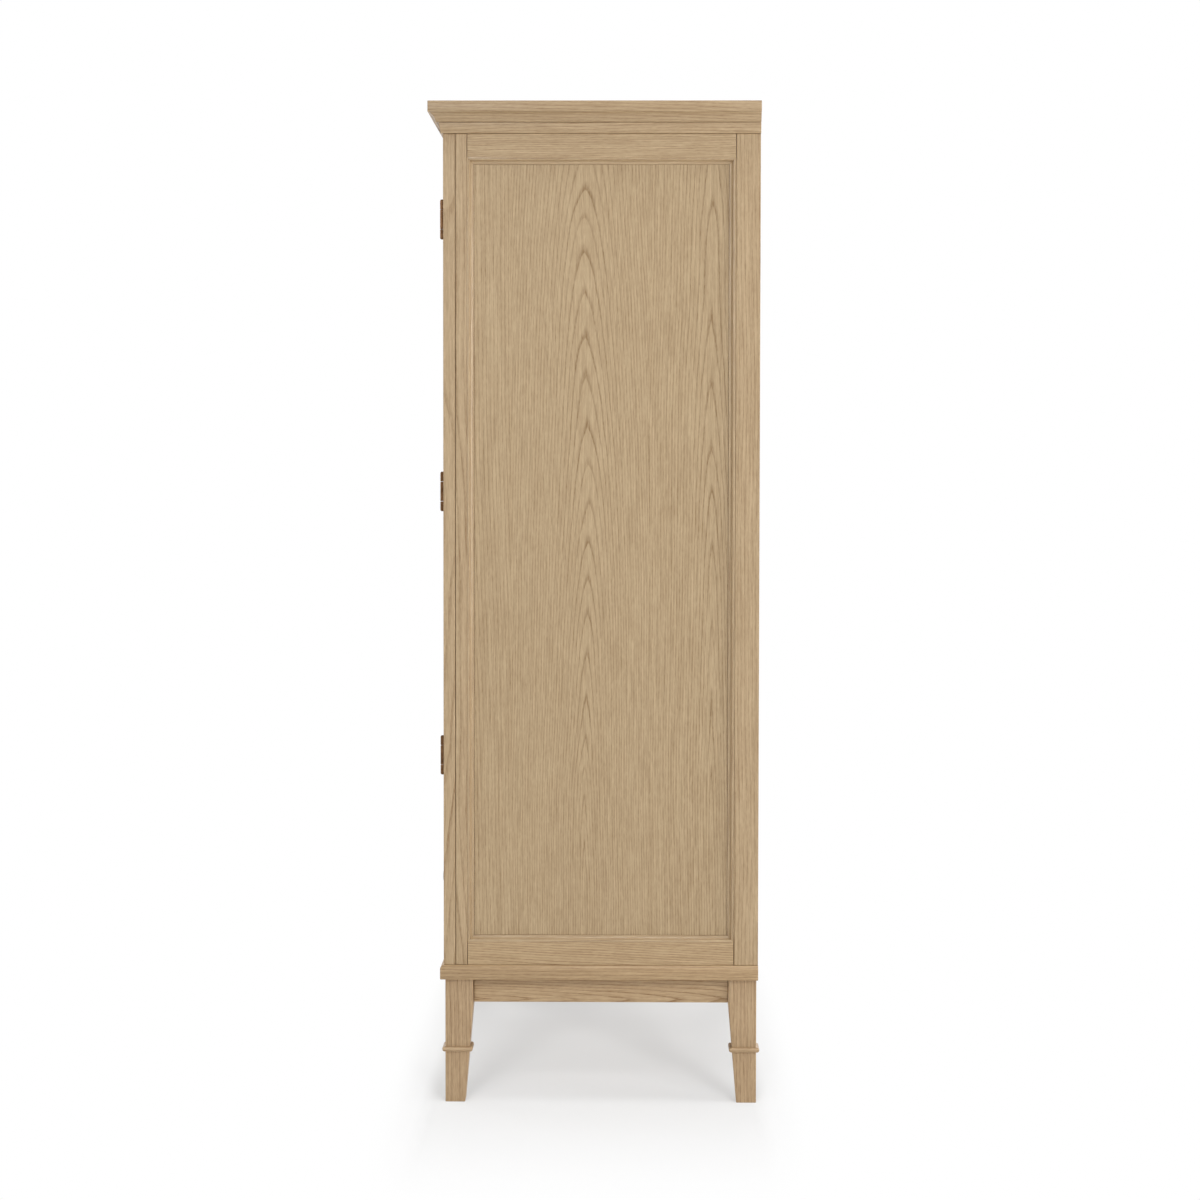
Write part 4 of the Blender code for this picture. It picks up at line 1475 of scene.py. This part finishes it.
@dataclass
class Stand:
    """Four tapered legs with half-round collars, four aprons and the edged base board."""

    foot: float = 0.0377
    collar_level: float = 0.1018
    collar_height: float = 0.0095
    collar_proud: float = 0.006
    collar_corner: float = 0.0045
    collar_roundness: float = 0.46
    leg_setback: float = 0.003
    leg_eased: float = 0.0013
    apron_tenon: float = 0.012
    apron_drop: float = 0.0034
    side_apron: Figure = Figure(-0.012, 0.012, 0.06, 0.0050, 0.9)
    base_overhang: float = 0.0065
    base_rounding: float = 0.0058
    base_rounding_margin: float = 0.0006
    base_flatness: float = 1.6
    base_steps: int = 8

    def build(self, maker: Maker) -> None:
        """Makes the stand.

        Args:
            maker: The maker that finishes the pieces.
        """
        plan = Plan.of_nodes()
        inner = Block.of_node("rear_apron").high[X] - self.apron_tenon
        self.build_legs(maker, plan, inner + FIT)
        self.build_aprons(maker, inner)
        self.build_base(maker, plan)

    def build_legs(self, maker: Maker, plan: Plan, inner_x: float) -> None:
        """Shapes the right rear leg and its collar, and copies them to the other corners.

        Args:
            maker: The maker that finishes the pieces.
            plan: The outline of the body above.
            inner_x: How far from the middle the leg's inner face stands at its top.
        """
        taper_top = Block.of_node("side_apron_right").low[Z]
        outer_x = plan.half_width - self.leg_setback
        outer_y = plan.back - self.leg_setback
        width = outer_x - inner_x
        inner_y = outer_y - width
        height = Block.of_node("base_board").low[Z] - FIT
        whole = Block((inner_x, inner_y, 0.0), (outer_x, outer_y, height))
        leg = Bench.block("rear_leg_right_oak", whole.between(Z, taper_top, height))
        Bench.pick(leg, Kind.FACE, lambda face: face.normal.z < -SAME_PLANE)
        bpy.ops.mesh.extrude_region_move(TRANSFORM_OT_translate={"value": (0, 0, -taper_top)})
        narrowing = width - self.foot
        for axis, inner in ((X, inner_x), (Y, inner_y)):
            Bench.shift(
                leg,
                lambda corner: corner.co.z < NEARBY and corner.co[axis] < inner + NEARBY,
                Vector((axis == X, axis == Y, 0)) * narrowing,
            )
        Bench.ease(leg, self.leg_eased)

        proud = self.collar_proud
        reach = self.foot + narrowing * self.collar_level / taper_top + proud
        half = self.collar_height / 2
        around = Block(
            (outer_x - reach, outer_y - reach, self.collar_level - half),
            (outer_x + proud, outer_y + proud, self.collar_level + half),
        )
        collar = Bench.block("rear_collar_right", around)
        Bench.round_over(collar, lambda edge: self.climb(edge) > NEARBY, self.collar_corner)
        rounding = self.collar_height * self.collar_roundness
        Bench.round_over(collar, lambda edge: self.climb(edge) < TOUCHING, rounding)

        mark = len(maker.row)
        for piece, wood in (
            (leg, Wood(whole, Grain.UPRIGHT, OAK_STAND)),
            (collar, Wood(around, Grain.DEEP, OAK_STAND, face=X)),
        ):
            maker.fit(piece, "case", "rear_leg_right", wood)
            name = piece.name.replace("rear", "front")
            copy = Bench.copy(piece, name, Vector((0, plan.front + plan.back, 0)), (1, -1))
            maker.fit(copy, "case", "front_leg_right", replace(wood, block=plan.turned(wood.block)))
        maker.mirror(mark)

    @staticmethod
    def climb(edge: Edge) -> float:
        """How far one end of an edge lies above the other."""
        return abs(edge.verts[0].co.z - edge.verts[1].co.z)

    def build_aprons(self, maker: Maker, reach: float) -> None:
        """Makes the four aprons between the legs.

        Args:
            maker: The maker that finishes the pieces.
            reach: How far from the middle the front and rear aprons end.
        """
        for node in ("front_apron", "rear_apron"):
            maker.board(node, Block.of_node(node).between(X, -reach, reach), Grain.ACROSS, OAK_APRON_PAINTED_LIGHT)
        mark = len(maker.row)
        apron = Block.of_node("side_apron_right")
        block = apron.between(Y, apron.low[Y] + self.apron_tenon, apron.high[Y] - self.apron_tenon)
        block = block.between(Z, apron.low[Z], apron.high[Z] - self.apron_drop)
        maker.board("side_apron_right", block, Grain.DEEP, OAK_APRON_PAINTED_LIGHT, cut=self.side_apron)
        maker.mirror(mark)

    def build_base(self, maker: Maker, plan: Plan) -> None:
        """Makes the base board, its upper edge rounded over.

        Args:
            maker: The maker that finishes the pieces.
            plan: The outline of the body above.
        """
        base = Block.of_node("base_board")
        overhang = self.base_overhang
        straight = base.high[Z] - self.base_rounding - self.base_rounding_margin
        profile = [(overhang, base.low[Z]), (overhang, straight)]
        for step in range(self.base_steps + 1):
            turn = math.radians(90) * step / self.base_steps
            out = self.base_rounding * (1 - abs(math.cos(turn)) ** self.base_flatness)
            down = self.base_rounding * (1 - math.sin(turn) ** self.base_flatness)
            profile.append((overhang - out, base.high[Z] - down))
        EdgedBoard("base_board", plan, tuple(profile), OAK_BASE_PAINTED_SHADE).build(maker)


@dataclass
class Knobs:
    """Four turned knobs, each on a rose and with its spigot in the wood.

    The waist's corners are each a share of the neck and the rose's a share of the rose, both with a level in
    rose thicknesses.
    """

    radius: float = 0.015
    projection: float = 0.025
    head: float = 0.012
    head_steps: int = 15
    head_fullness: float = 0.6
    neck: float = 0.0062
    waist: Profile = ((0.92, 2.2), (1.0, 1.5))
    rose: float = 0.0105
    rose_thickness: float = 0.003
    rose_edge: Profile = ((0.86, 1.15), (1.0, 0.7))
    spigot: float = 0.004
    spigot_length: float = 0.013
    steps: int = 48

    def build(self, maker: Maker) -> None:
        """Turns the right door's knob and copies it to its other places.

        Args:
            maker: The maker that finishes the pieces.
        """
        mark = len(maker.row)
        spot = Vector(Block.of_node("door_knob_right").centre())
        spot.y = Block.of_node("door_lock_stile_right").low[Y]
        knob = self.turn("door_knob_right_bronze", spot)
        maker.fit(knob, "right_door", "door_knob_right")
        other = Vector(Block.of_node("drawer_knob_right").centre())
        other.y = Block.of_node("drawer_front").low[Y]
        copy = Bench.copy(knob, "drawer_knob_right_bronze", other - spot)
        maker.fit(copy, "drawer", "drawer_knob_right")
        maker.mirror(mark)

    def turn(self, name: str, at: Vector) -> Piece:
        """Turns a knob.

        Args:
            name: Its name.
            at: The middle of its seat on the wood.

        Returns:
            The knob.
        """
        half = self.head / 2
        middle = self.projection - half
        profile = [(0.0, self.projection)]
        for step in range(1, self.head_steps):
            turn = math.radians(180) * step / self.head_steps
            bulge = math.sin(turn) ** self.head_fullness
            profile.append((self.neck + (self.radius - self.neck) * bulge, middle + half * math.cos(turn)))
        profile.append((self.neck, middle - half))
        for radius, corners in ((self.neck, self.waist), (self.rose, self.rose_edge)):
            profile += [(radius * share, self.rose_thickness * level) for share, level in corners]
        profile += [
            (self.rose, FIT),
            (self.spigot, FIT),
            (self.spigot, -self.spigot_length),
            (0.0, -self.spigot_length),
        ]
        line = [at + Vector((reach, -level, 0)) for reach, level in profile]
        return Bench.lathe(name, line, Vector((0, 1, 0)), self.steps)


@dataclass
class Doors:
    """Two framed doors, each of two stiles, two rails, a panel of three leaves and its bead."""

    recess: float = 0.008
    panel_thickness: float = 0.008
    leaves: tuple[Cut, ...] = (Cut.RIFT, Cut.CROWN, Cut.CROWN)

    def build(self, maker: Maker) -> None:
        """Makes the right door and copies it to the left.

        Args:
            maker: The maker that finishes the pieces.
        """
        mark = len(maker.row)
        body = "right_door"
        hinge_stile = Block.of_node("door_hinge_stile_right")
        lock_stile = Block.of_node("door_lock_stile_right")
        maker.board("door_hinge_stile_right", hinge_stile, Grain.UPRIGHT, OAK_DOOR, body)
        maker.board("door_lock_stile_right", lock_stile, Grain.UPRIGHT, OAK_DOOR, body)
        start = lock_stile.high[X] + FIT
        end = hinge_stile.low[X] - FIT
        rails = []
        for node in ("door_bottom_rail_right", "door_top_rail_right"):
            rail = Block.of_node(node).between(X, start, end)
            maker.board(node, rail, Grain.ACROSS, OAK_DOOR, body)
            rails.append(rail)
        low = rails[0].high[Z]
        high = rails[1].low[Z]
        front = lock_stile.low[Y]
        face = front + self.recess
        bead = Bead(OAK_DOOR)
        block = Block((start, face, low), (end, face + self.panel_thickness, high))
        panel = Panel("door_panel_right", block, OAK_PANEL, body, bead.width + PANEL_GROOVE)
        width = (end - start) / len(self.leaves)
        panel.build(maker, (start + width, end - width), self.leaves)
        opening = Block((start - FIT, front, low), (end + FIT, face, high))
        bead.build(maker, "door_bead_right", opening, face, Vector((0, -1, 0)), body, panel.node)
        maker.mirror(mark)


@dataclass
class Drawer:
    """The drawer: its front, two sides, a back and a bottom."""

    front_figure: Figure = Figure(0.02, 0.05, 0.035, 0.0046)
    bottom_eased: float = 0.0006

    def build(self, maker: Maker) -> None:
        """Makes all the pieces of the drawer.

        Args:
            maker: The maker that finishes the pieces.
        """
        body = "drawer"
        front = Block.of_node("drawer_front")
        maker.board("drawer_front", front, Grain.ACROSS, OAK_DOOR, body, self.front_figure)
        mark = len(maker.row)
        side = Block.of_node("drawer_side_right")
        side = side.between(Y, front.high[Y], side.high[Y])
        maker.board("drawer_side_right", side, Grain.DEEP, OAK_INSIDE, body)
        maker.mirror(mark)
        inner = side.low[X]
        back = Block.of_node("drawer_back").between(X, -inner, inner)
        maker.board("drawer_back", back, Grain.ACROSS, OAK_INSIDE, body)
        bottom = Block.of_node("drawer_bottom").between(X, -inner, inner)
        bottom = bottom.between(Y, front.high[Y], bottom.high[Y])
        maker.board("drawer_bottom", bottom, Grain.ACROSS, OAK_INSIDE, body, eased=self.bottom_eased)


@dataclass(frozen=True)
class Screw:
    """The slotted head of a countersunk screw, flush in a hinge leaf."""

    radius: float = 0.0032
    depth: float = 0.0012
    proud: float = 0.0001
    sides: int = 24
    eased: float = 0.0003
    slot_depth: float = 0.0008
    slot_width: float = 0.0009
    slot_overlap: float = 1.2

    def build(self, at: Vector, away: int, turn: float) -> Piece:
        """Makes the head.

        Args:
            at: The middle of the head's place on the leaf's face.
            away: Which way along X the screw goes in, 1 or -1.
            turn: How far its slot is turned, in degrees.

        Returns:
            The screw's head.
        """
        face = at - Vector((away * self.proud, 0, 0))
        inside = face + Vector((away * self.depth, 0, 0))
        head = Bench.cylinder("screw", self.radius, face, inside, self.sides)
        Bench.ease(head, self.eased, 1)
        half = Vector((self.slot_depth / 2, self.radius * self.slot_overlap, self.slot_width / 2))
        slot = Bench.block("slot", Block(tuple(-half), tuple(half)))
        slot.matrix_world = Matrix.Translation(face) @ Matrix.Rotation(math.radians(turn), 4, "X")
        Bench.take(head)
        cut = head.modifiers.new("slot", "BOOLEAN")
        cut.operation = "DIFFERENCE"
        cut.solver = "EXACT"
        cut.object = slot
        bpy.ops.object.modifier_apply(modifier=cut.name)
        bpy.data.objects.remove(slot)
        return head


@dataclass
class Hinges:
    """Six butt hinges: each a frame leaf with two knuckles, and a door leaf with the middle one."""

    axis_x: float = 0.5025
    end_knuckle: float = 0.019
    gap: float = 0.0005
    barrel: float = 0.0041
    barrel_end: float = 0.0033
    barrel_end_steps: int = 6
    knuckle_eased: float = 0.0008
    knuckle_sharp: float = 60.0
    leaf: float = 0.002
    leaf_gap: float = 0.0006
    leaf_eased: float = 0.0004
    eased_steps: int = 2
    tongue_short: float = 0.0004
    tongue_lap: float = 0.0005
    screw: Screw = Screw()
    screws: int = 3
    screw_setback: float = 0.001
    screw_stagger: float = 0.003
    first_turn: float = 25.0
    next_turn: float = 50.0
    count: int = 3

    def build(self, maker: Maker) -> None:
        """Makes one hinge and copies it up the right door and to the left.

        Args:
            maker: The maker that finishes the pieces.
        """
        mark = len(maker.row)
        whole = Block.of_node("hinge_frame_leaf_1_right")
        bottom = whole.low[Z]
        top = whole.high[Z]
        low_joint = bottom + self.end_knuckle
        high_joint = top - self.end_knuckle
        ends = [(bottom, low_joint), (high_joint, top)]
        middle = [(low_joint + self.gap, high_joint - self.gap)]
        frame_leaf = self.build_leaf("hinge_frame_leaf_1_right_bronze", whole, 1, ends)
        door_leaf = self.build_leaf("hinge_door_leaf_1_right_bronze", whole, -1, middle)
        for number in range(1, self.count + 1):
            rise = Block.of_node(f"hinge_frame_leaf_{number}_right").low[Z] - bottom
            for first, body in ((frame_leaf, "case"), (door_leaf, "right_door")):
                name = first.name.replace("leaf_1", f"leaf_{number}")
                leaf = first if number == 1 else Bench.copy(first, name, Vector((0, 0, rise)))
                maker.fit(leaf, body, name.removesuffix("_bronze"))
        maker.mirror(mark)

    def build_leaf(
        self, name: str, whole: Block, away: int, knuckles: list[tuple[float, float]]
    ) -> Piece:
        """Makes one leaf: its plate, its knuckles with their tongues, and its screws.

        Args:
            name: The leaf's name.
            whole: The block of the whole hinge.
            away: Which way along X the leaf lies from the pin, 1 or -1.
            knuckles: The lower and upper ends of its knuckles.

        Returns:
            The leaf, in one piece.
        """
        front = Block.of_node("face_stile_right").low[Y]
        axis_y = whole.low[Y] + self.barrel
        bottom, top, back = whole.low[Z], whole.high[Z], whole.high[Y]
        inner = self.axis_x + away * self.leaf_gap / 2
        low_x, high_x = sorted((inner, inner + away * self.leaf))
        plate = Bench.block("plate", Block((low_x, front, bottom), (high_x, back, top)))
        Bench.ease(plate, self.leaf_eased, self.eased_steps)
        parts = [plate]
        for low, high in knuckles:
            tongue = Block(
                (low_x, axis_y, low + self.tongue_short),
                (high_x, front + self.tongue_lap, high - self.tongue_short),
            )
            parts.append(Bench.block("tongue", tongue))
            foot, head = (Vector((self.axis_x, axis_y, level)) for level in (low, high))
            knuckle = Bench.cylinder("knuckle", self.barrel, foot, head)
            for end in (bottom, top):
                Bench.round_over(
                    knuckle,
                    lambda edge: all(abs(corner.co.z - end) < TOUCHING for corner in edge.verts),
                    self.barrel_end,
                    self.barrel_end_steps,
                )
            Bench.ease(knuckle, self.knuckle_eased, self.eased_steps, self.knuckle_sharp)
            Bench.smooth(SMOOTH_TURNING)
            parts.append(knuckle)
        middle_y = (front + back) / 2 + self.screw_setback
        for number in range(self.screws):
            aside = self.screw_stagger if number % 2 else -self.screw_stagger
            level = bottom + (top - bottom) * (number + 0.5) / self.screws
            at = Vector((inner, middle_y + aside, level))
            parts.append(self.screw.build(at, away, self.first_turn + self.next_turn * number))
        return Bench.join(parts, name)


@dataclass(frozen=True)
class Lamp:
    """A soft square lamp, aimed at the cabinet's middle from a direction.

    Its level is what it adds to a white surface that faces it.
    """

    name: str
    toward: Triple
    level: float
    size: float = 2.4
    distance: float = 4.6

    def build(self, target: Vector) -> None:
        """Hangs the lamp.

        Args:
            target: The cabinet's middle.
        """
        data = bpy.data.lights.new(self.name, "AREA")
        data.shape = "SQUARE"
        data.size = self.size
        data.energy = math.pi**2 * self.distance**2 * self.level
        lamp = put_in_scene(self.name, data)
        way = Vector(self.toward).normalized()
        lamp.location = target + way * self.distance
        lamp.rotation_euler = way.to_track_quat("Z", "Y").to_euler()


@dataclass(frozen=True)
class FloorLamp:
    """A far lamp that lights the floor alone, where it draws the legs' shadows.

    Its level is what it adds to a white surface that faces it, and its spread is in degrees.
    """

    name: str
    toward: Triple
    level: float = 2.20
    spread: float = 13.0

    def build(self, floor_only: bpy.types.Collection) -> None:
        """Hangs the lamp.

        Args:
            floor_only: The collection that holds the floor and nothing else.
        """
        data = bpy.data.lights.new(self.name, "SUN")
        data.energy = math.pi * self.level
        data.angle = math.radians(self.spread)
        lamp = put_in_scene(self.name, data)
        lamp.rotation_euler = Vector(self.toward).to_track_quat("Z", "Y").to_euler()
        lamp.light_linking.receiver_collection = floor_only


@dataclass
class Floor:
    """A pale floor that keeps the cabinet's shadow and adds a painted shade near it. It turns white further
    out and half so beside it, which paints the shadow out there.

    The fade starts at the fade edge, which is about half the cabinet's width and depth, and the rate says how
    soon it turns white each way. Mirrors and the camera see this floor. The room is lit by a plain pale one.
    """

    size: float = 60.0
    shade_share: float = 0.225
    # Painted shade: how much darker than white the floor near the cabinet is drawn, fading out with the
    # white.
    shade_base: float = 0.102
    level: float = 2.12
    fade_edge: Triple = (0.55, 0.30, 0.0)
    fade_rate: Triple = (0.6, 4.5, 0.0)
    fade: tuple[float, float] = (0.03, 0.50)
    # Painted light: beside the cabinet this share of the floor's shadow is painted out with white.
    beside: tuple[float, float] = (0.300, 0.340)
    beside_share: float = 0.5
    plain: float = 0.41

    def build(self) -> Piece:
        """Lays the floor.

        Returns:
            The floor.
        """
        Bench.clear()
        bpy.ops.mesh.primitive_plane_add(size=self.size, location=(0, 0, 0))
        floor = bpy.context.object
        floor.name = "floor"
        made, wiring = open_material("floor_white")
        floor.data.materials.append(made)
        nodes = made.node_tree.nodes
        nodes.remove(nodes["Principled BSDF"])
        glow = wiring.add("ShaderNodeEmission")
        # The glow is lowered by the painted shade near the cabinet.
        wiring.feed(glow.inputs["Strength"], 1.0 - self.shade_share * self.level - self.shade_base)
        near = wiring.add("ShaderNodeAddShader")
        for socket, shader in zip(near.inputs, (self.chalk(wiring, self.shade_share), glow)):
            wiring.feed(socket, shader.outputs[0])
        white = wiring.add("ShaderNodeEmission")
        shown = wiring.mix_shaders(self.far(wiring), near, white)
        whole = wiring.mix_shaders(seen(wiring), self.chalk(wiring, self.plain), shown)
        wiring.feed(nodes["Material Output"].inputs["Surface"], whole.outputs[0])
        return floor

    @staticmethod
    def chalk(wiring: Wiring, paleness: float) -> bpy.types.Node:
        """Adds a matt grey shader.

        Args:
            wiring: The floor's wiring.
            paleness: How pale it is, 1 for white.

        Returns:
            The shader.
        """
        shader = wiring.add("ShaderNodeBsdfDiffuse")
        wiring.feed(shader.inputs["Color"], (paleness, paleness, paleness, 1.0))
        return shader

    def far(self, wiring: Wiring) -> Socket:
        """Draws how far the floor has turned white.

        Args:
            wiring: The floor's wiring.

        Returns:
            0 under the cabinet, 1 far from it.
        """
        place = wiring.add("ShaderNodeTexCoord").outputs["Object"]
        place = wiring.vector("ABSOLUTE", place)
        apart = wiring.vector("SUBTRACT", place, self.fade_edge)
        apart = wiring.vector("MAXIMUM", apart, (0.0, 0.0, 0.0))
        apart = wiring.vector("MULTIPLY", apart, self.fade_rate)
        far = wiring.step(wiring.vector("LENGTH", apart), *self.fade)
        # Beside the cabinet, white is painted over half the shadow.
        beside = wiring.step(wiring.split(place)[Y], *self.beside, 0.0, self.beside_share)
        return wiring.maths("MULTIPLY_ADD", beside, wiring.maths("SUBTRACT", 1.0, far), far)


def seen(wiring: Wiring) -> Socket:
    """Tells the rays that show the background: from the camera, a mirror or glass.

    Args:
        wiring: The wiring of the floor or the world.

    Returns:
        1 for such a ray, else 0.
    """
    path = wiring.add("ShaderNodeLightPath").outputs
    shown = wiring.maths("MAXIMUM", path["Is Camera Ray"], path["Is Glossy Ray"])
    return wiring.maths("MAXIMUM", shown, path["Is Transmission Ray"])


@dataclass
class Studio:
    """A white room: its floor, its even light with a few soft lamps, and the camera.

    The camera's heading, tilt and roll are in degrees, and its lens and film in millimetres.
    """

    camera_at: Triple = (5.952, 0.0798, 1.1976)
    heading: float = 90.744
    tilt: float = 2.499
    roll: float = 0.076
    lens: float = 85.5
    film: float = 36.0
    reach: float = 100.0
    ambient: float = 0.35
    target: Triple = (0.0, 0.0, 0.9)
    lamps: tuple[Lamp, ...] = (
        Lamp("lamp_key", (0.30, 0.93, 0.14), 0.42),
        Lamp("lamp_low", (0.97, 0.02, 0.06), 0.038),
        Lamp("lamp_left", (0.87, -0.33, 0.36), 0.12, 0.6),
        Lamp("lamp_right", (0.80, 0.48, 0.36), 0.12, 0.6),
        Lamp("lamp_top", (0.20, 0.10, 0.97), 0.42),
        Lamp("lamp_front", (-0.50, -0.80, 0.30), 0.32),
        Lamp("lamp_far", (-0.90, 0.05, 0.35), 0.28),
    )
    floor_lamps: tuple[FloorLamp, ...] = (
        FloorLamp("floor_lamp_front", (0.985, -0.17, 0.178)),
        FloorLamp("floor_lamp_back", (0.95, 0.31, 0.178)),
    )

    def build(self) -> None:
        """Sets up the room."""
        self.build_world()
        floor_only = bpy.data.collections.new("floor_only")
        floor_only.objects.link(Floor().build())
        for lamp in self.lamps:
            lamp.build(Vector(self.target))
        for lamp in self.floor_lamps:
            lamp.build(floor_only)
        self.build_camera()
        bpy.context.scene.view_settings.view_transform = "Standard"

    def build_world(self) -> None:
        """Makes the background white, and the light that it sheds a little lower."""
        world = bpy.data.worlds.new("white_room")
        bpy.context.scene.world = world
        world.use_nodes = True
        wiring = Wiring(world.node_tree)
        background = world.node_tree.nodes["Background"]
        wiring.feed(background.inputs["Color"], (1.0, 1.0, 1.0, 1.0))
        strength = wiring.step(seen(wiring), 0.0, 1.0, self.ambient, 1.0)
        wiring.feed(background.inputs["Strength"], strength)

    def build_camera(self) -> None:
        """Sets up the camera at the photograph's angle."""
        data = bpy.data.cameras.new("camera")
        data.lens = self.lens
        data.sensor_width = self.film
        data.clip_end = self.reach
        camera = put_in_scene("camera", data)
        turn = (
            Matrix.Rotation(math.radians(self.heading), 4, "Z")
            @ Matrix.Rotation(math.radians(90.0 - self.tilt), 4, "X")
            @ Matrix.Rotation(math.radians(self.roll), 4, "Z")
        )
        camera.matrix_world = Matrix.Translation(self.camera_at) @ turn
        bpy.context.scene.camera = camera


def main() -> None:
    """Builds the cabinet's looks, sub-assembly by sub-assembly."""
    logging.basicConfig(level=logging.INFO, format="%(message)s")
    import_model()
    Studio().build()
    maker = Maker(Timber(), Bronze().material())
    for part in (Stand(), CaseSides(), FaceFrame(), Inside(), Top(), Doors(), Hinges(), Drawer(), Knobs()):
        part.build(maker)
        LOG.info("%s: %d pieces so far", type(part).__name__, len(maker.row))


if __name__ == "__main__":
    main()
